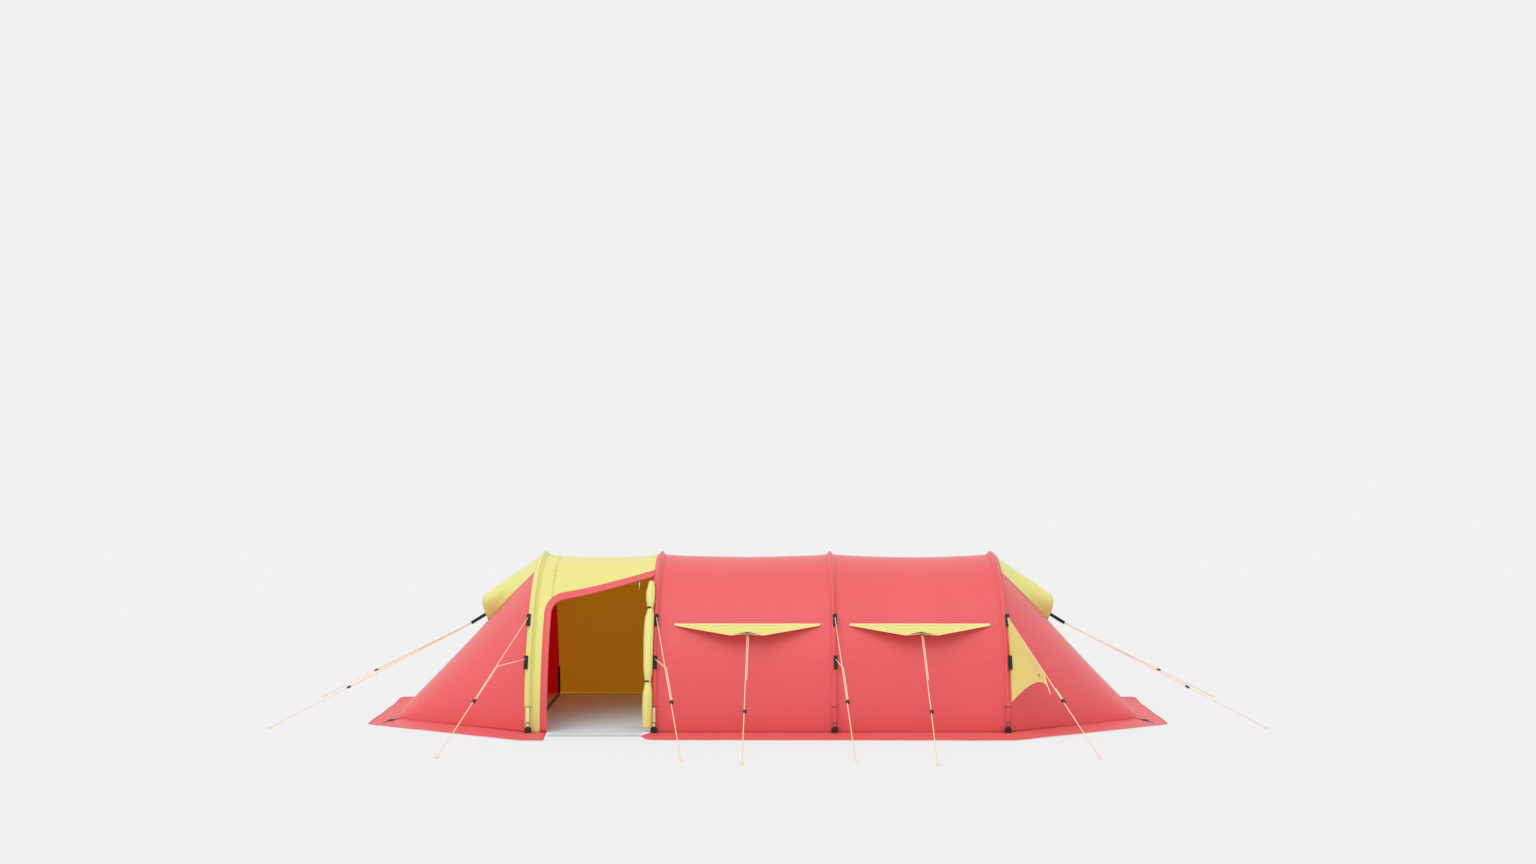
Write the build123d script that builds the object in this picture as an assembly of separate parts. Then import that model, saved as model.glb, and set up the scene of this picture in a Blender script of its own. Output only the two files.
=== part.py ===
from build123d import *

# Four-pole tunnel tent, pitched and guyed out.
#
# Frame: X runs along the tunnel, from the porch end to the cabin end. Y runs across it, and the
# porch door is in the -Y wall. Z is up, and the origin is on the ground at the middle of the
# tent. All sizes are in millimetres.

import os
from math import atan2, cos, degrees, hypot, pi, radians, sin, sqrt

# ---- driving dimensions ----
POLE_X = (-2230, -1060, 620, 2230)  # planes of the four arch poles
HALF_WIDTH = 1163  # pole centreline to the middle plane, at the ground
PEAK = 1589  # pole centreline above the ground, at the ridge
POLE_OR, POLE_IR = 6.15, 5.25
FERRULE_OR, FERRULE_IR, FERRULE_LENGTH = 4.8, 3.4, 110
SHOCK_CORD_R = 1.5
SECTIONS = 9  # tube sections in one pole
POLE_FOOT_Z = 24  # the pole ends this high, inside its cup
SLEEVE_OR, SLEEVE_IR = 16, 14.5
SLEEVE_END_Z = 240  # the sleeve stops here, above its foot strap

CLOTH = 2  # modelled thickness of the flysheet
POLE_STANDOFF = 18  # the pole centreline lies this far outside the cloth
FLY_A, FLY_B = HALF_WIDTH - POLE_STANDOFF, PEAK - POLE_STANDOFF
RIDGE_SAG = 26  # the ridge drops this much half-way between two poles
SIDE_SAG = 4  # the walls draw in this much half-way between two poles

END_X = 3600  # foot of each sloping end, which is still a low arch there
END_HALF_WIDTH, END_HEIGHT = 400, 78

FLAP_T = 3  # snow flap
FLAP_Y = 1555
FLAP_KNEE_X = 2240
FLAP_CORNER = (3830, 720)
FLAP_GAP = 1  # between the flap and the foot of the wall
FLAP_DOOR = (-2036, -1172, -1092)  # x of the flap's outer corners beside the door
FLAP_DOOR_Y = (-1340, -1528)  # y of its last two corners

DOOR_LEFT, DOOR_RIGHT = -2060, -1086  # clear opening, from the trim to pole 2
DOOR_SHOULDER_Z, DOOR_TOP_Z = 1186, 1407  # the sloping top, at its left and right ends
DOOR_CORNER_R = 130
TRIM_WIDTH, TRIM_RISE, TRIM_T, TRIM_GAP = 64, 52, 2, 0.8
SILL_Y = 1336  # the porch floor comes out to here under the door

ROLL_X, ROLL_R = -1121, 44  # the rolled-up door
ROLL_OUT = 40  # the roll's middle lies this far outside the wall
ROLL_Z = (60, 1335)
TIE_Z = (1120, 475)
WAIST_R, WAIST_LENGTH = 27, 40  # the ties pull the roll in
TIE_WIDTH, TIE_T, TIE_GAP = 14, 2, 1

SEAM_Z = 968  # top seam of the side awnings
AWNING_SPANS = ((-885, 497), (768, 2102))
AWNING_GAP, AWNING_T = 6, 2.5
AWNING_SLOPE = 19  # degrees below the level
AWNING_REACH, AWNING_NOTCH, AWNING_TIP_HALF = 212, 178, 150
PATCH_DEPTH = 38

GUY_Z = (1035, 665)  # upper and lower guy tabs on each arch
TAB_WIDTH, TAB_HEIGHT, TAB_T = 38, 130, 2.5
TAB_SHIFT = (-32, 6, 12, 32)  # each pole's tabs sit this far beside its plane
TAB_DROP = 28  # the ring is this far above the middle of its tab
RING_R, RING_WIRE = 11, 2
CORD_R = 4
SPLIT = 0.375  # share of the line's length where its lower leg joins it
RUNNER_AT = 0.62  # the runner's place, as a share of the line's length
STRAND_GAP = 12  # between the line and its return strand
WING_EDGE, WING_TAIL = 0.425, 0.53  # the wing's corner and tail, as shares of its guy's length
WING_INSET = Vector(-8, 0, -8)  # the wing's edge keeps this far from its guy
TAIL_DROP = Vector(-36, 0, -52)  # the tail hangs this far from the guy
WING_CROWN = Vector(60, 0, 150)  # the top of the hollow hem, from the middle of its two ends
WING_FOOT_Z = 285
PEGS = ((-2839, 2355), (-740, 2474), (744, 2432), (2844, 2364))  # ends of the pole guys
AWNING_PEGS = ((-219, 2604), (1425, 2621))
END_PEG = (4700, 930)
PEG_LOOP_R = 16
LEG_GAP = 16  # the lower leg stops this far short of the middle of its guy
RUNNER_SIZE = (34, 16, 36)
END_STRAP = ((2812, 982), (2965, 888))  # x and z of the end strap's two ends
STRAP_WIDTH = 32

HOOD_X = (2262, 2480, 2700, 2806)  # stations of the end hoods
HOOD_TOP_Z = (1568, 1415, 1268, 1185)
HOOD_HALF_WIDTH = (370, 230, 135, 95)
HOOD_GAP, HOOD_T = 4, 2
VENT_HALF_WIDTH, VENT_Z = 110, (1090, 1330)

CORNER_STRAP = ((3612, 414), (3706, 676))  # from the corner of an end to the strap's point

RISER_HEIGHT, RISER_LEAN = 290, 5.5  # webbing up the inside of the wall at pole 1

INNER_X = (-975, 2150)
INNER_GAP = 85  # between the cabin and the flysheet
FLOOR_Z = 7
CABIN_DOOR = (430, 540, 650)  # half-axes of the cabin's doorway, and the height of its middle


# ---- helpers ----
def across(x):
    """The plane across the tunnel at x: its own x is the tent's Y, and its own y is Z."""
    return Plane(origin=(x, 0, 0), x_dir=(0, 1, 0), z_dir=(1, 0, 0))


def half_ring(x, a, b, thickness):
    """The section of an arched cloth: half an elliptical ring, standing on the ground."""
    outer = EllipticalCenterArc((0, 0), a, b, 0, arc_size=180)
    inner = EllipticalCenterArc((0, 0), a - thickness, b - thickness, 0, arc_size=180)
    edges = [outer, Line(outer @ 1, inner @ 1), inner, Line(inner @ 0, outer @ 0)]
    return across(x) * make_face(edges)


def arch_y(z, a=HALF_WIDTH, b=PEAK):
    """Half-width of an arch at height z."""
    return a * sqrt(1 - (z / b) ** 2)


def lean(z, a=HALF_WIDTH, b=PEAK):
    """Lean of an arch from the vertical at height z, in degrees."""
    return degrees(atan2(a * a * z, b * b * arch_y(z, a, b)))


def wall_y(z):
    return arch_y(z, FLY_A, FLY_B)


def wall_lean(z):
    return lean(z, FLY_A, FLY_B)


def arch_angle(z, a=HALF_WIDTH, b=PEAK):
    """The ellipse's own angle, in degrees, at which an arch reaches height z."""
    return degrees(atan2(z / b, arch_y(z, a, b) / a))


def arch_path(x, z_end):
    """The pole line from z_end on one side, over the ridge, to z_end on the other."""
    start = arch_angle(z_end)
    arc = EllipticalCenterArc((0, 0), HALF_WIDTH, PEAK, start, arc_size=180 - 2 * start)
    return across(x) * arc


def tube_along(path, outer_r, inner_r=0):
    start = Plane(origin=path @ 0, z_dir=path % 0)
    section = start * Circle(outer_r)
    if inner_r:
        section -= start * Circle(inner_r)
    return sweep(section, path)


def rod(start, end, radius):
    """A straight round solid between two points."""
    along = end - start
    return Solid.make_cylinder(radius, along.length, Plane(origin=start, z_dir=along))


def between(start, end, share):
    return start + (end - start) * share


def on_line(start, end, share):
    """A plane on a guy: its z runs down the line, and its x stays level."""
    along = (end - start).normalized()
    level = Vector(-along.Y, along.X, 0).normalized()
    return Plane(origin=between(start, end, share), x_dir=level, z_dir=along)


def both_sides(shapes):
    """The shapes, and the same ones across the middle plane y = 0."""
    return shapes + [mirror(s, about=Plane.XZ) for s in shapes]


def both_ends(shapes):
    """The shapes, and the same ones across the middle plane x = 0."""
    return shapes + [mirror(s, about=Plane.YZ) for s in shapes]


# ---- flysheet ----
def bay(x0, x1, extra=0, thickness=CLOTH):
    """Cloth between two poles, with the ridge a little lower half-way."""
    a, b = FLY_A + extra, FLY_B + extra
    rings = [
        half_ring(x0, a, b, thickness),
        half_ring((x0 + x1) / 2, a - SIDE_SAG, b - RIDGE_SAG, thickness),
        half_ring(x1, a, b, thickness),
    ]
    return loft(rings)


def door_prism(grow=0, rise=0):
    """The door's outline, grown at its side and top, and pushed through the front wall."""
    left, right = DOOR_LEFT - grow, DOOR_RIGHT
    shoulder, top = DOOR_SHOULDER_Z + rise, DOOR_TOP_Z + rise
    corners = [(left, -20), (left, shoulder), (right, top), (right, -20)]
    face = make_face(Polyline(*corners, close=True))
    corner = face.vertices().filter_by(lambda v: abs(v.Y - shoulder) < 1)
    face = fillet(corner, DOOR_CORNER_R + grow)
    front = Plane(origin=(0, -250, 0), x_dir=(1, 0, 0), z_dir=(0, -1, 0))
    return extrude(front * face, 1500)


def fly_vestibule():
    return bay(POLE_X[0], POLE_X[1]) - door_prism()


def door_trim():
    """A taped band round the door, on the outside of the cloth."""
    strip = bay(POLE_X[0], POLE_X[1], TRIM_GAP + TRIM_T, TRIM_T)
    band = strip & (door_prism(TRIM_WIDTH, TRIM_RISE) - door_prism())
    return band - Box(9000, 4000, 2 * FLAP_T + 1)


def end_shell(side):
    """The sloping end: an arch at the pole that flattens towards its closed foot."""
    rings = [
        half_ring(side * POLE_X[3], FLY_A, FLY_B, CLOTH),
        half_ring(side * END_X, END_HALF_WIDTH, END_HEIGHT, CLOTH),
    ]
    arc = EllipticalCenterArc((0, 0), END_HALF_WIDTH, END_HEIGHT, 0, arc_size=180)
    nose = extrude(across(side * END_X) * make_face([arc, Line(arc @ 1, arc @ 0)]), -side * CLOTH)
    return loft(rings, ruled=True) + nose


def vent_block(side):
    low, high = VENT_Z
    place = Pos(side * 2700, 0, (low + high) / 2)
    return place * Box(900, 2 * VENT_HALF_WIDTH, high - low)


def end_half_axes(x):
    """Half-axes of the sloping end's section at distance x from the middle."""
    u = (x - POLE_X[3]) / (END_X - POLE_X[3])
    return FLY_A + u * (END_HALF_WIDTH - FLY_A), FLY_B + u * (END_HEIGHT - FLY_B)


def vent_hood(side):
    """A scoop over the end vent, with its mouth away from the pole."""
    rings = []
    for x, top, half in zip(HOOD_X, HOOD_TOP_Z, HOOD_HALF_WIDTH):
        foot = arch_y(half, *reversed(end_half_axes(x))) + HOOD_GAP
        outer = ThreePointArc((half, foot), (0, top), (-half, foot))
        inner = ThreePointArc((half - HOOD_T, foot), (0, top - HOOD_T), (HOOD_T - half, foot))
        edges = [outer, Line(outer @ 1, inner @ 1), inner, Line(inner @ 0, outer @ 0)]
        rings.append(across(side * x) * make_face(edges))
    return loft(rings, ruled=True)


def hood_toggles():
    """Round cord toggles on the front edge of each hood's mouth."""
    place = (HOOD_X[-1] + 16, 0, 1120)
    return both_ends([Pos(*place) * Sphere(8)])


def snow_flap():
    """A flat skirt on the ground all round the walls, open at the door."""
    gap = FLAP_GAP
    outer = [FLAP_CORNER, (FLAP_KNEE_X, FLAP_Y)]
    inner = [(END_X + gap, END_HALF_WIDTH + gap), (POLE_X[3], FLY_A + gap)]

    def loop(points):
        right = points[::-1] + [(x, -y) for x, y in points]
        left = [(-x, y) for x, y in right[::-1]]
        return make_face(Polyline(*right, *left, close=True))

    left, low, right = FLAP_DOOR
    near, far = FLAP_DOOR_Y
    doorway = [
        (DOOR_LEFT, 40 - FLY_A),
        (DOOR_LEFT, -FLY_A),
        (left, -FLAP_Y - 20),
        (right - 20, -FLAP_Y - 20),
        (right, far),
        (low, near),
        (DOOR_RIGHT, -FLY_A),
        (DOOR_RIGHT, 40 - FLY_A),
    ]
    flap = extrude(loop(outer) - loop(inner), FLAP_T)
    return flap - extrude(make_face(Polyline(*doorway, close=True)), 2 * FLAP_T)


# ---- poles ----
def section_angles():
    """Angles on the pole line that split it into sections of equal length."""
    steps = 2000
    start = atan2(POLE_FOOT_Z / PEAK, arch_y(POLE_FOOT_Z) / HALF_WIDTH)
    angles = [start + (pi - 2 * start) * i / steps for i in range(steps + 1)]
    points = [(HALF_WIDTH * cos(t), PEAK * sin(t)) for t in angles]
    lengths = [0.0]
    for (y0, z0), (y1, z1) in zip(points, points[1:]):
        lengths.append(lengths[-1] + hypot(y1 - y0, z1 - z0))
    stops = [angles[0]]
    for k in range(1, SECTIONS):
        stops.append(next(t for t, s in zip(angles, lengths) if s >= lengths[-1] * k / SECTIONS))
    return stops + [angles[-1]], lengths[-1]


STOPS, POLE_LENGTH = section_angles()


def arch_piece(x, t0, t1):
    """A stretch of the pole line, bent to one radius."""
    points = [(HALF_WIDTH * cos(t), PEAK * sin(t)) for t in (t0, (t0 + t1) / 2, t1)]
    return across(x) * ThreePointArc(*points)


def pole(x):
    return [tube_along(arch_piece(x, a, b), POLE_OR, POLE_IR) for a, b in zip(STOPS, STOPS[1:])]


def pole_ferrules():
    """Short inner tubes that join the pole sections."""
    half = (STOPS[-1] - STOPS[0]) * FERRULE_LENGTH / POLE_LENGTH / 2
    return [
        tube_along(arch_piece(x, t - half, t + half), FERRULE_OR, FERRULE_IR)
        for x in POLE_X
        for t in STOPS[1:-1]
    ]


def shock_cords():
    """Elastic cord inside each pole, from one foot to the other."""
    cords = []
    for x in POLE_X:
        pieces = [arch_piece(x, a, b) for a, b in zip(STOPS, STOPS[1:])]
        cords += [tube_along(piece, SHOCK_CORD_R) for piece in pieces]
    return cords


def sleeve(x):
    return tube_along(arch_path(x, SLEEVE_END_Z), SLEEVE_OR, SLEEVE_IR)


def sleeve_bindings():
    """Tape round the two ends of each pole sleeve."""
    z = SLEEVE_END_Z - 7
    ring = Cylinder(SLEEVE_OR + 1, 10) - Cylinder(SLEEVE_IR - 2, 12)
    return both_sides([Pos(x, -arch_y(z), z) * Rot(X=-lean(z)) * ring for x in POLE_X])


# ---- feet ----
def pole_cups():
    """Plastic sockets on the ground that take the pole ends."""
    body = Box(62, 36, 46)
    body = fillet(body.edges().filter_by(Axis.Z), 6)
    body = chamfer(body.edges().group_by(Axis.Z)[-1], 4)
    low = FLAP_T + 0.5
    cups = []
    for x in POLE_X:
        place = Pos(x, -HALF_WIDTH - 4, low + 23)
        bore = Pos(x, -arch_y(30), 18 + 30) * Cylinder(POLE_OR + 0.5, 60)
        cups.append(place * body - bore)
    return both_sides(cups)


def foot_straps():
    """Webbing from the sleeve end down to its ladder buckle."""
    top, foot = Vector(0, -1172, 236), Vector(0, -1181, 104)
    middle, along = (top + foot) / 2, top - foot
    straps = []
    for x in POLE_X:
        place = Plane(origin=middle + Vector(x, 0, 0), x_dir=(1, 0, 0), z_dir=along)
        straps.append(place * Box(26, 1.8, along.length))
    return both_sides(straps)


def ladder_frame(width, length):
    """A flat buckle with two bars, lying in its own XY plane."""
    frame = Box(width, length, 5)
    frame = fillet(frame.edges().filter_by(Axis.Z), 3)
    slot = Box(width - 9, length / 4, 9)
    return frame - [Pos(0, y, 0) * slot for y in (-length / 5, length / 5)]


def ladder_buckles():
    """Ladder buckles that tension the sleeve ends and the corners of the ends."""
    foot = Rot(X=90) * ladder_frame(34, 50)
    buckles = both_sides([Pos(x, -1186, 78) * foot for x in POLE_X])
    start, end = (Vector(*p) for p in CORNER_STRAP)
    middle = between(start, end, 0.4)
    turn = degrees(atan2(end.Y - start.Y, end.X - start.X)) - 90
    corner = Pos(middle.X, middle.Y, FLAP_T + 4.2 + 2.5) * Rot(Z=turn) * ladder_frame(46, 50)
    return buckles + both_ends(both_sides([corner]))


def corner_straps():
    """Pointed webbing at the low corners of the sloping ends."""
    start, end = (Vector(*p) for p in CORNER_STRAP)
    length = (end - start).length
    turn = degrees(atan2(end.Y - start.Y, end.X - start.X))
    shape = [(0, -18), (0, 18), (length - 40, 18), (length, 0), (length - 40, -18)]
    strap = extrude(make_face(Polyline(*shape, close=True)), 3)
    place = Pos(start.X, start.Y, FLAP_T + 0.5) * Rot(Z=turn)
    return both_ends(both_sides([place * strap]))


# ---- guying ----
def tab_place(x, z, side):
    """Plane on the outside of a sleeve: its z points out, and its y runs down the arch."""
    tilt = radians(lean(z))
    out = Vector(0, side * cos(tilt), sin(tilt))
    start = Vector(x, side * arch_y(z), z) + out * (SLEEVE_OR + 1)
    return Plane(origin=start, x_dir=(side, 0, 0), z_dir=out)


def on_tab(x, z, side, out):
    return tab_place(x, z, side).from_local_coords(Vector(0, 0, out))


def ring_centre(index, z, side):
    x = POLE_X[index] + TAB_SHIFT[index]
    return on_tab(x, z, side, TAB_T + RING_R + RING_WIRE + 0.5)


def guy_tabs():
    """Webbing beside each sleeve, which carries a ring near its top."""
    plate = Pos(0, TAB_DROP, TAB_T / 2) * Box(TAB_WIDTH, TAB_HEIGHT, TAB_T)
    tabs = []
    for x, shift in zip(POLE_X, TAB_SHIFT):
        for z in GUY_Z:
            for s in (-1, 1):
                tabs.append(tab_place(x + shift, z, s) * plate)
    return tabs


def awning_place(x0, x1, side):
    """Plane of a side awning: its y runs outwards and down from the middle of its seam."""
    slope = radians(AWNING_SLOPE)
    out = Vector(0, side * cos(slope), -sin(slope))
    start = Vector((x0 + x1) / 2, side * (wall_y(SEAM_Z) + AWNING_GAP), SEAM_Z)
    return Plane(origin=start, x_dir=(side, 0, 0), z_dir=Vector(side, 0, 0).cross(out))


AWNINGS = [(x0, x1, side) for side in (-1, 1) for x0, x1 in AWNING_SPANS]


def side_awnings():
    """Stiffened cloth that stands out over the side vents."""
    made = []
    for x0, x1, side in AWNINGS:
        half, tip = (x1 - x0) / 2, AWNING_TIP_HALF
        edge = [(-half, 0), (-tip, AWNING_REACH), (0, AWNING_NOTCH), (tip, AWNING_REACH), (half, 0)]
        face = make_face(Polyline(*edge, close=True))
        made.append(extrude(awning_place(x0, x1, side) * face, AWNING_T))
    return made


def awning_patches():
    """Dark reinforcement on top of each awning, along its notched middle."""
    tip, reach, notch, deep = AWNING_TIP_HALF, AWNING_REACH, AWNING_NOTCH, PATCH_DEPTH
    edge = [(-tip + 6, reach - 4), (0, notch - 2), (tip - 6, reach - 4), (0, notch - deep)]
    face = make_face(Polyline(*edge, close=True))
    return [
        extrude(awning_place(*where).offset(AWNING_T + 0.4) * face, 1.5) for where in AWNINGS
    ]


def awning_ring_centre(where):
    place = awning_place(*where)
    return place.from_local_coords(Vector(0, AWNING_NOTCH + RING_R + RING_WIRE + 0.5, 0))


def end_ring_centre(end):
    x, z = END_STRAP[1]
    return Vector(end * (x + RING_R + RING_WIRE + 0.5), 0, z - 7)


def guy_rings():
    """Wire rings between the webbing and the guys."""
    upright = Rot(Y=90) * Torus(RING_R, RING_WIRE)
    rings = [
        Plane(origin=ring_centre(i, z, s), x_dir=(1, 0, 0), z_dir=tab_place(0, z, s).z_dir) * upright
        for i in range(4)
        for z in GUY_Z
        for s in (-1, 1)
    ]
    rings += [Pos(*awning_ring_centre(where)) * upright for where in AWNINGS]
    return rings + [Pos(*end_ring_centre(end)) * Torus(RING_R, RING_WIRE) for end in (-1, 1)]


def end_straps():
    """Webbing from the mouth of each hood out to the two end guys."""
    (x0, z0), (x1, z1) = END_STRAP
    fall = degrees(atan2(z0 - z1, x1 - x0))
    band = Rot(Y=fall) * Box(hypot(x1 - x0, z1 - z0), 4, STRAP_WIDTH)
    return both_ends([Pos((x0 + x1) / 2, 0, (z0 + z1) / 2) * band])


def guy(start, end, strand):
    """A taut cord from its ring to a loop on the ground, with its return strand beside it."""
    place = on_line(start, end, 0)
    level = Vector(place.z_dir.X, place.z_dir.Y, 0).normalized()
    foot = Vector(end.X, end.Y, CORD_R + 0.5)
    loop = Pos(*(foot + level * PEG_LOOP_R)) * Torus(PEG_LOOP_R, CORD_R)
    line = rod(start + place.z_dir * (RING_R + RING_WIRE + 0.5), foot, CORD_R) + loop
    shift = place.x_dir * STRAND_GAP
    first, last = strand
    return [line, rod(between(start, end, first) + shift, between(start, end, last) + shift, CORD_R)]


def foot_of(peg, side):
    return Vector(peg[0], side * peg[1], CORD_R + 0.5)


def pole_line(index, side):
    """Both ends of one pole's guy."""
    return ring_centre(index, GUY_Z[0], side), foot_of(PEGS[index], side)


def awning_line(index, side):
    centre = awning_ring_centre((*AWNING_SPANS[index], side))
    return centre, foot_of(AWNING_PEGS[index], side)


def end_line(end, side):
    return end_ring_centre(end), Vector(end * END_PEG[0], side * END_PEG[1], CORD_R + 0.5)


def pole_guys():
    """Two guys for each pole: each has a lower leg to its second ring, or the wing instead."""
    made = []
    for index in range(4):
        for side in (-1, 1):
            start, end = pole_line(index, side)
            if (index, side) == (3, -1):
                made += guy(start, end, (WING_TAIL, RUNNER_AT))
                continue
            made += guy(start, end, (SPLIT, RUNNER_AT))
            ring = ring_centre(index, GUY_Z[1], side)
            joint = between(start, end, SPLIT)
            leg = (joint - ring).normalized()
            made.append(rod(ring + leg * (RING_R + RING_WIRE + 0.5), joint - leg * LEG_GAP, CORD_R))
    return made


def guys_of(lines, strand):
    return [solid for start, end in lines for solid in guy(start, end, strand)]


def runner(start, end):
    """A small bar with two holes that slides on its guy."""
    body = fillet(Box(*RUNNER_SIZE).edges().filter_by(Axis.Z), 4)
    body -= [Pos(x, 0, 0) * Cylinder(CORD_R + 0.8, 60) for x in (-STRAND_GAP / 2, STRAND_GAP / 2)]
    return on_line(start, end, RUNNER_AT) * (Pos(STRAND_GAP / 2, 0, 0) * body)


def guy_wing():
    """A cloth wing between the last pole and its front guy."""
    start, end = pole_line(3, -1)
    edge_x = POLE_X[3] + TAB_SHIFT[3]
    top = on_tab(edge_x, GUY_Z[0] - 30, -1, TAB_T + 14)
    foot = on_tab(edge_x, WING_FOOT_Z, -1, 6)
    outer = between(start, end, WING_EDGE) + WING_INSET
    tail = between(start, end, WING_TAIL) + TAIL_DROP
    crown = (tail + foot) / 2 + WING_CROWN
    hem = ThreePointArc(tail, crown, foot)
    edges = [Line(top, outer), Line(outer, tail), hem, Line(foot, top)]
    wing = Solid.thicken(Face.make_surface(Wire(edges)), 1.5)
    slot = Pos(0, TAB_DROP, TAB_T / 2) * Box(TAB_WIDTH + 2, TAB_HEIGHT + 2, TAB_T + 2)
    for z in GUY_Z:
        wing -= tab_place(edge_x, z, -1) * slot
    return wing


# ---- door hardware ----
def door_roll():
    """The door cloth, rolled up beside the second pole, with a waist at each tie."""
    a, b = FLY_A + ROLL_OUT, FLY_B + ROLL_OUT

    def length_of_roll(z0, z1, radius):
        foot, top = (180 - arch_angle(z, a, b) for z in (z0, z1))
        arc = EllipticalCenterArc((0, 0), a, b, foot, arc_size=top - foot)
        return tube_along(across(ROLL_X) * arc, radius)

    high, low = TIE_Z
    half = WAIST_LENGTH / 2
    roll = length_of_roll(*ROLL_Z, WAIST_R)
    for z0, z1 in ((ROLL_Z[0], low - half), (low + half, high - half), (high + half, ROLL_Z[1])):
        roll += length_of_roll(z0, z1, ROLL_R)
    return roll


def on_roll(z):
    a, b = FLY_A + ROLL_OUT, FLY_B + ROLL_OUT
    return Pos(ROLL_X, -arch_y(z, a, b), z) * Rot(X=-lean(z, a, b))


def door_ties():
    """Elastic loops round the rolled door."""
    inner_r = WAIST_R + TIE_GAP
    ring = Cylinder(inner_r + TIE_T, TIE_WIDTH) - Cylinder(inner_r, TIE_WIDTH + 2)
    return [on_roll(z) * ring for z in TIE_Z]


def toggle(z):
    """A barrel toggle in front of its tie, on a short pin."""
    out = WAIST_R + TIE_GAP + TIE_T
    barrel = Pos(0, -out - 8, 0) * Rot(Y=90) * Cylinder(5.5, 26)
    pin = Pos(0, -out - 2.4, 0) * Rot(X=90) * Cylinder(2, 4)
    return on_roll(z) * (barrel + pin)


def slider_path():
    """Where the zip slider is parked, and how far it runs down the sloping top."""
    drop = 18
    slope = (DOOR_TOP_Z - DOOR_SHOULDER_Z) / (DOOR_RIGHT - DOOR_LEFT)

    def on_top(x):
        z = DOOR_SHOULDER_Z + slope * (x - DOOR_LEFT) - drop
        return Vector(x, -wall_y(z), z)

    return on_top(-1240), on_top(-1740)


LUG = Vector(0, -7.2, -2)  # the slider's lug, from its middle


def zip_slider():
    start, _ = slider_path()
    lug = Rot(Y=90) * Cylinder(2.8, 3) + Pos(0, 1.9, 0) * Box(3, 3, 5)
    eye = Rot(Y=90) * Cylinder(1.3, 10)
    return Pos(*start) * (Box(16, 9, 11) + Pos(*LUG) * lug - Pos(*LUG) * eye)


def zip_pull():
    """A pull tab with its cord, hinged on the slider's lug."""
    start, _ = slider_path()
    plate = Pos(0, 0, -22) * Box(9, 2.2, 36)
    ears = Pos(0, 0, -2.2) * Box(9, 2.2, 6.4) - Pos(0, 0, -0.6) * Box(3.8, 12, 7.2)
    pin = Rot(Y=90) * Cylinder(0.9, 8.8)
    cord = Pos(0, 0, -56) * Cylinder(2, 34)
    return Pos(*start) * Pos(*LUG) * (plate + ears + pin + cord)


# ---- ground and cabin ----
def groundsheet():
    """Porch floor: it reaches into the sloping end and out to the door sill."""
    inset = 14
    side = FLY_A - inset
    left, right = DOOR_LEFT + 30, FLAP_DOOR[1] - 6
    points = [
        (-END_X + 60, -END_HALF_WIDTH + inset),
        (POLE_X[0], -side),
        (left, -side),
        (left, -SILL_Y),
        (right, -SILL_Y),
        (right, -side),
        (INNER_X[0] - 10, -side),
        (INNER_X[0] - 10, side),
        (POLE_X[0], side),
        (-END_X + 60, END_HALF_WIDTH - inset),
    ]
    return extrude(make_face(Polyline(*points, close=True)), 2)


def base_straps():
    """Webbing between the two feet of each pole, along the rear wall and on the sill."""
    z = 3.4
    straps = [Pos(x, 0, z) * Box(40, 2 * (FLY_A - 20), 2) for x in POLE_X]
    run = POLE_X[1] - POLE_X[0] - 44
    rear = Pos((POLE_X[0] + POLE_X[1]) / 2, FLY_A - 30, z) * Box(run, 20, 2)
    left, right = DOOR_LEFT + 34, FLAP_DOOR[1] - 10
    sill = Pos((left + right) / 2, 8 - SILL_Y, z) * Box(right - left, 14, 2)
    riser = Rot(X=-RISER_LEAN) * Pos(0, 0, RISER_HEIGHT / 2) * Box(24, 2, RISER_HEIGHT)
    risers = both_sides([Pos(POLE_X[0], 16 - FLY_A, z + 3) * riser])
    return straps + [rear, sill] + risers


def inner_canopy():
    """The roof and side walls of the sleeping cabin."""
    x0, x1 = INNER_X
    a, b = FLY_A - INNER_GAP, FLY_B - INNER_GAP
    rings = [
        half_ring(x0, a, b, CLOTH),
        half_ring((x0 + x1) / 2, a, b - RIDGE_SAG, CLOTH),
        half_ring(x1, a, b, CLOTH),
    ]
    return loft(rings) - Box(9000, 4000, 2 * FLOOR_Z + 6)


def inner_wall(x):
    """An upright end wall of the cabin."""
    gap = INNER_GAP + CLOTH + 1
    arc = EllipticalCenterArc((0, 0), FLY_A - gap, FLY_B - gap, 0, arc_size=180)
    face = across(x) * make_face([arc, Line(arc @ 1, arc @ 0)])
    return extrude(face, CLOTH) - Box(9000, 4000, 2 * FLOOR_Z + 6)


def inner_porch_wall():
    """The cabin's wall to the porch, with its doorway open."""
    half_width, half_height, middle = CABIN_DOOR
    doorway = extrude(across(INNER_X[0]) * Ellipse(half_width, half_height), 40, both=True)
    return inner_wall(INNER_X[0] + 1) - Pos(0, 0, middle) * doorway


def inner_door_roll():
    """The cabin's door, rolled up beside its doorway."""
    half_width, half_height, middle = CABIN_DOOR
    x, y = INNER_X[0] + 40, half_width + 60
    return Pos(x, y, middle - 40) * Cylinder(26, 2 * half_height - 180)


def inner_floor():
    x0, x1 = INNER_X
    y = FLY_A - INNER_GAP - 14
    return Pos((x0 + x1) / 2, 0, FLOOR_Z) * Box(x1 - x0 - 20, 2 * y, 2)


def hanger_toggles():
    """Toggles that hang the cabin from the poles."""
    gap = INNER_GAP / 2
    barrel = Rot(Y=90) * Cylinder(4, 30)
    made = []
    for x in (INNER_X[0] + 40, POLE_X[2], INNER_X[1] - 40):
        for angle in (35, 62, 90, 118, 145):
            y, z = (FLY_A - gap) * cos(radians(angle)), (FLY_B - gap - 8) * sin(radians(angle))
            made.append(Pos(x, y, z) * barrel)
    return made


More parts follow.
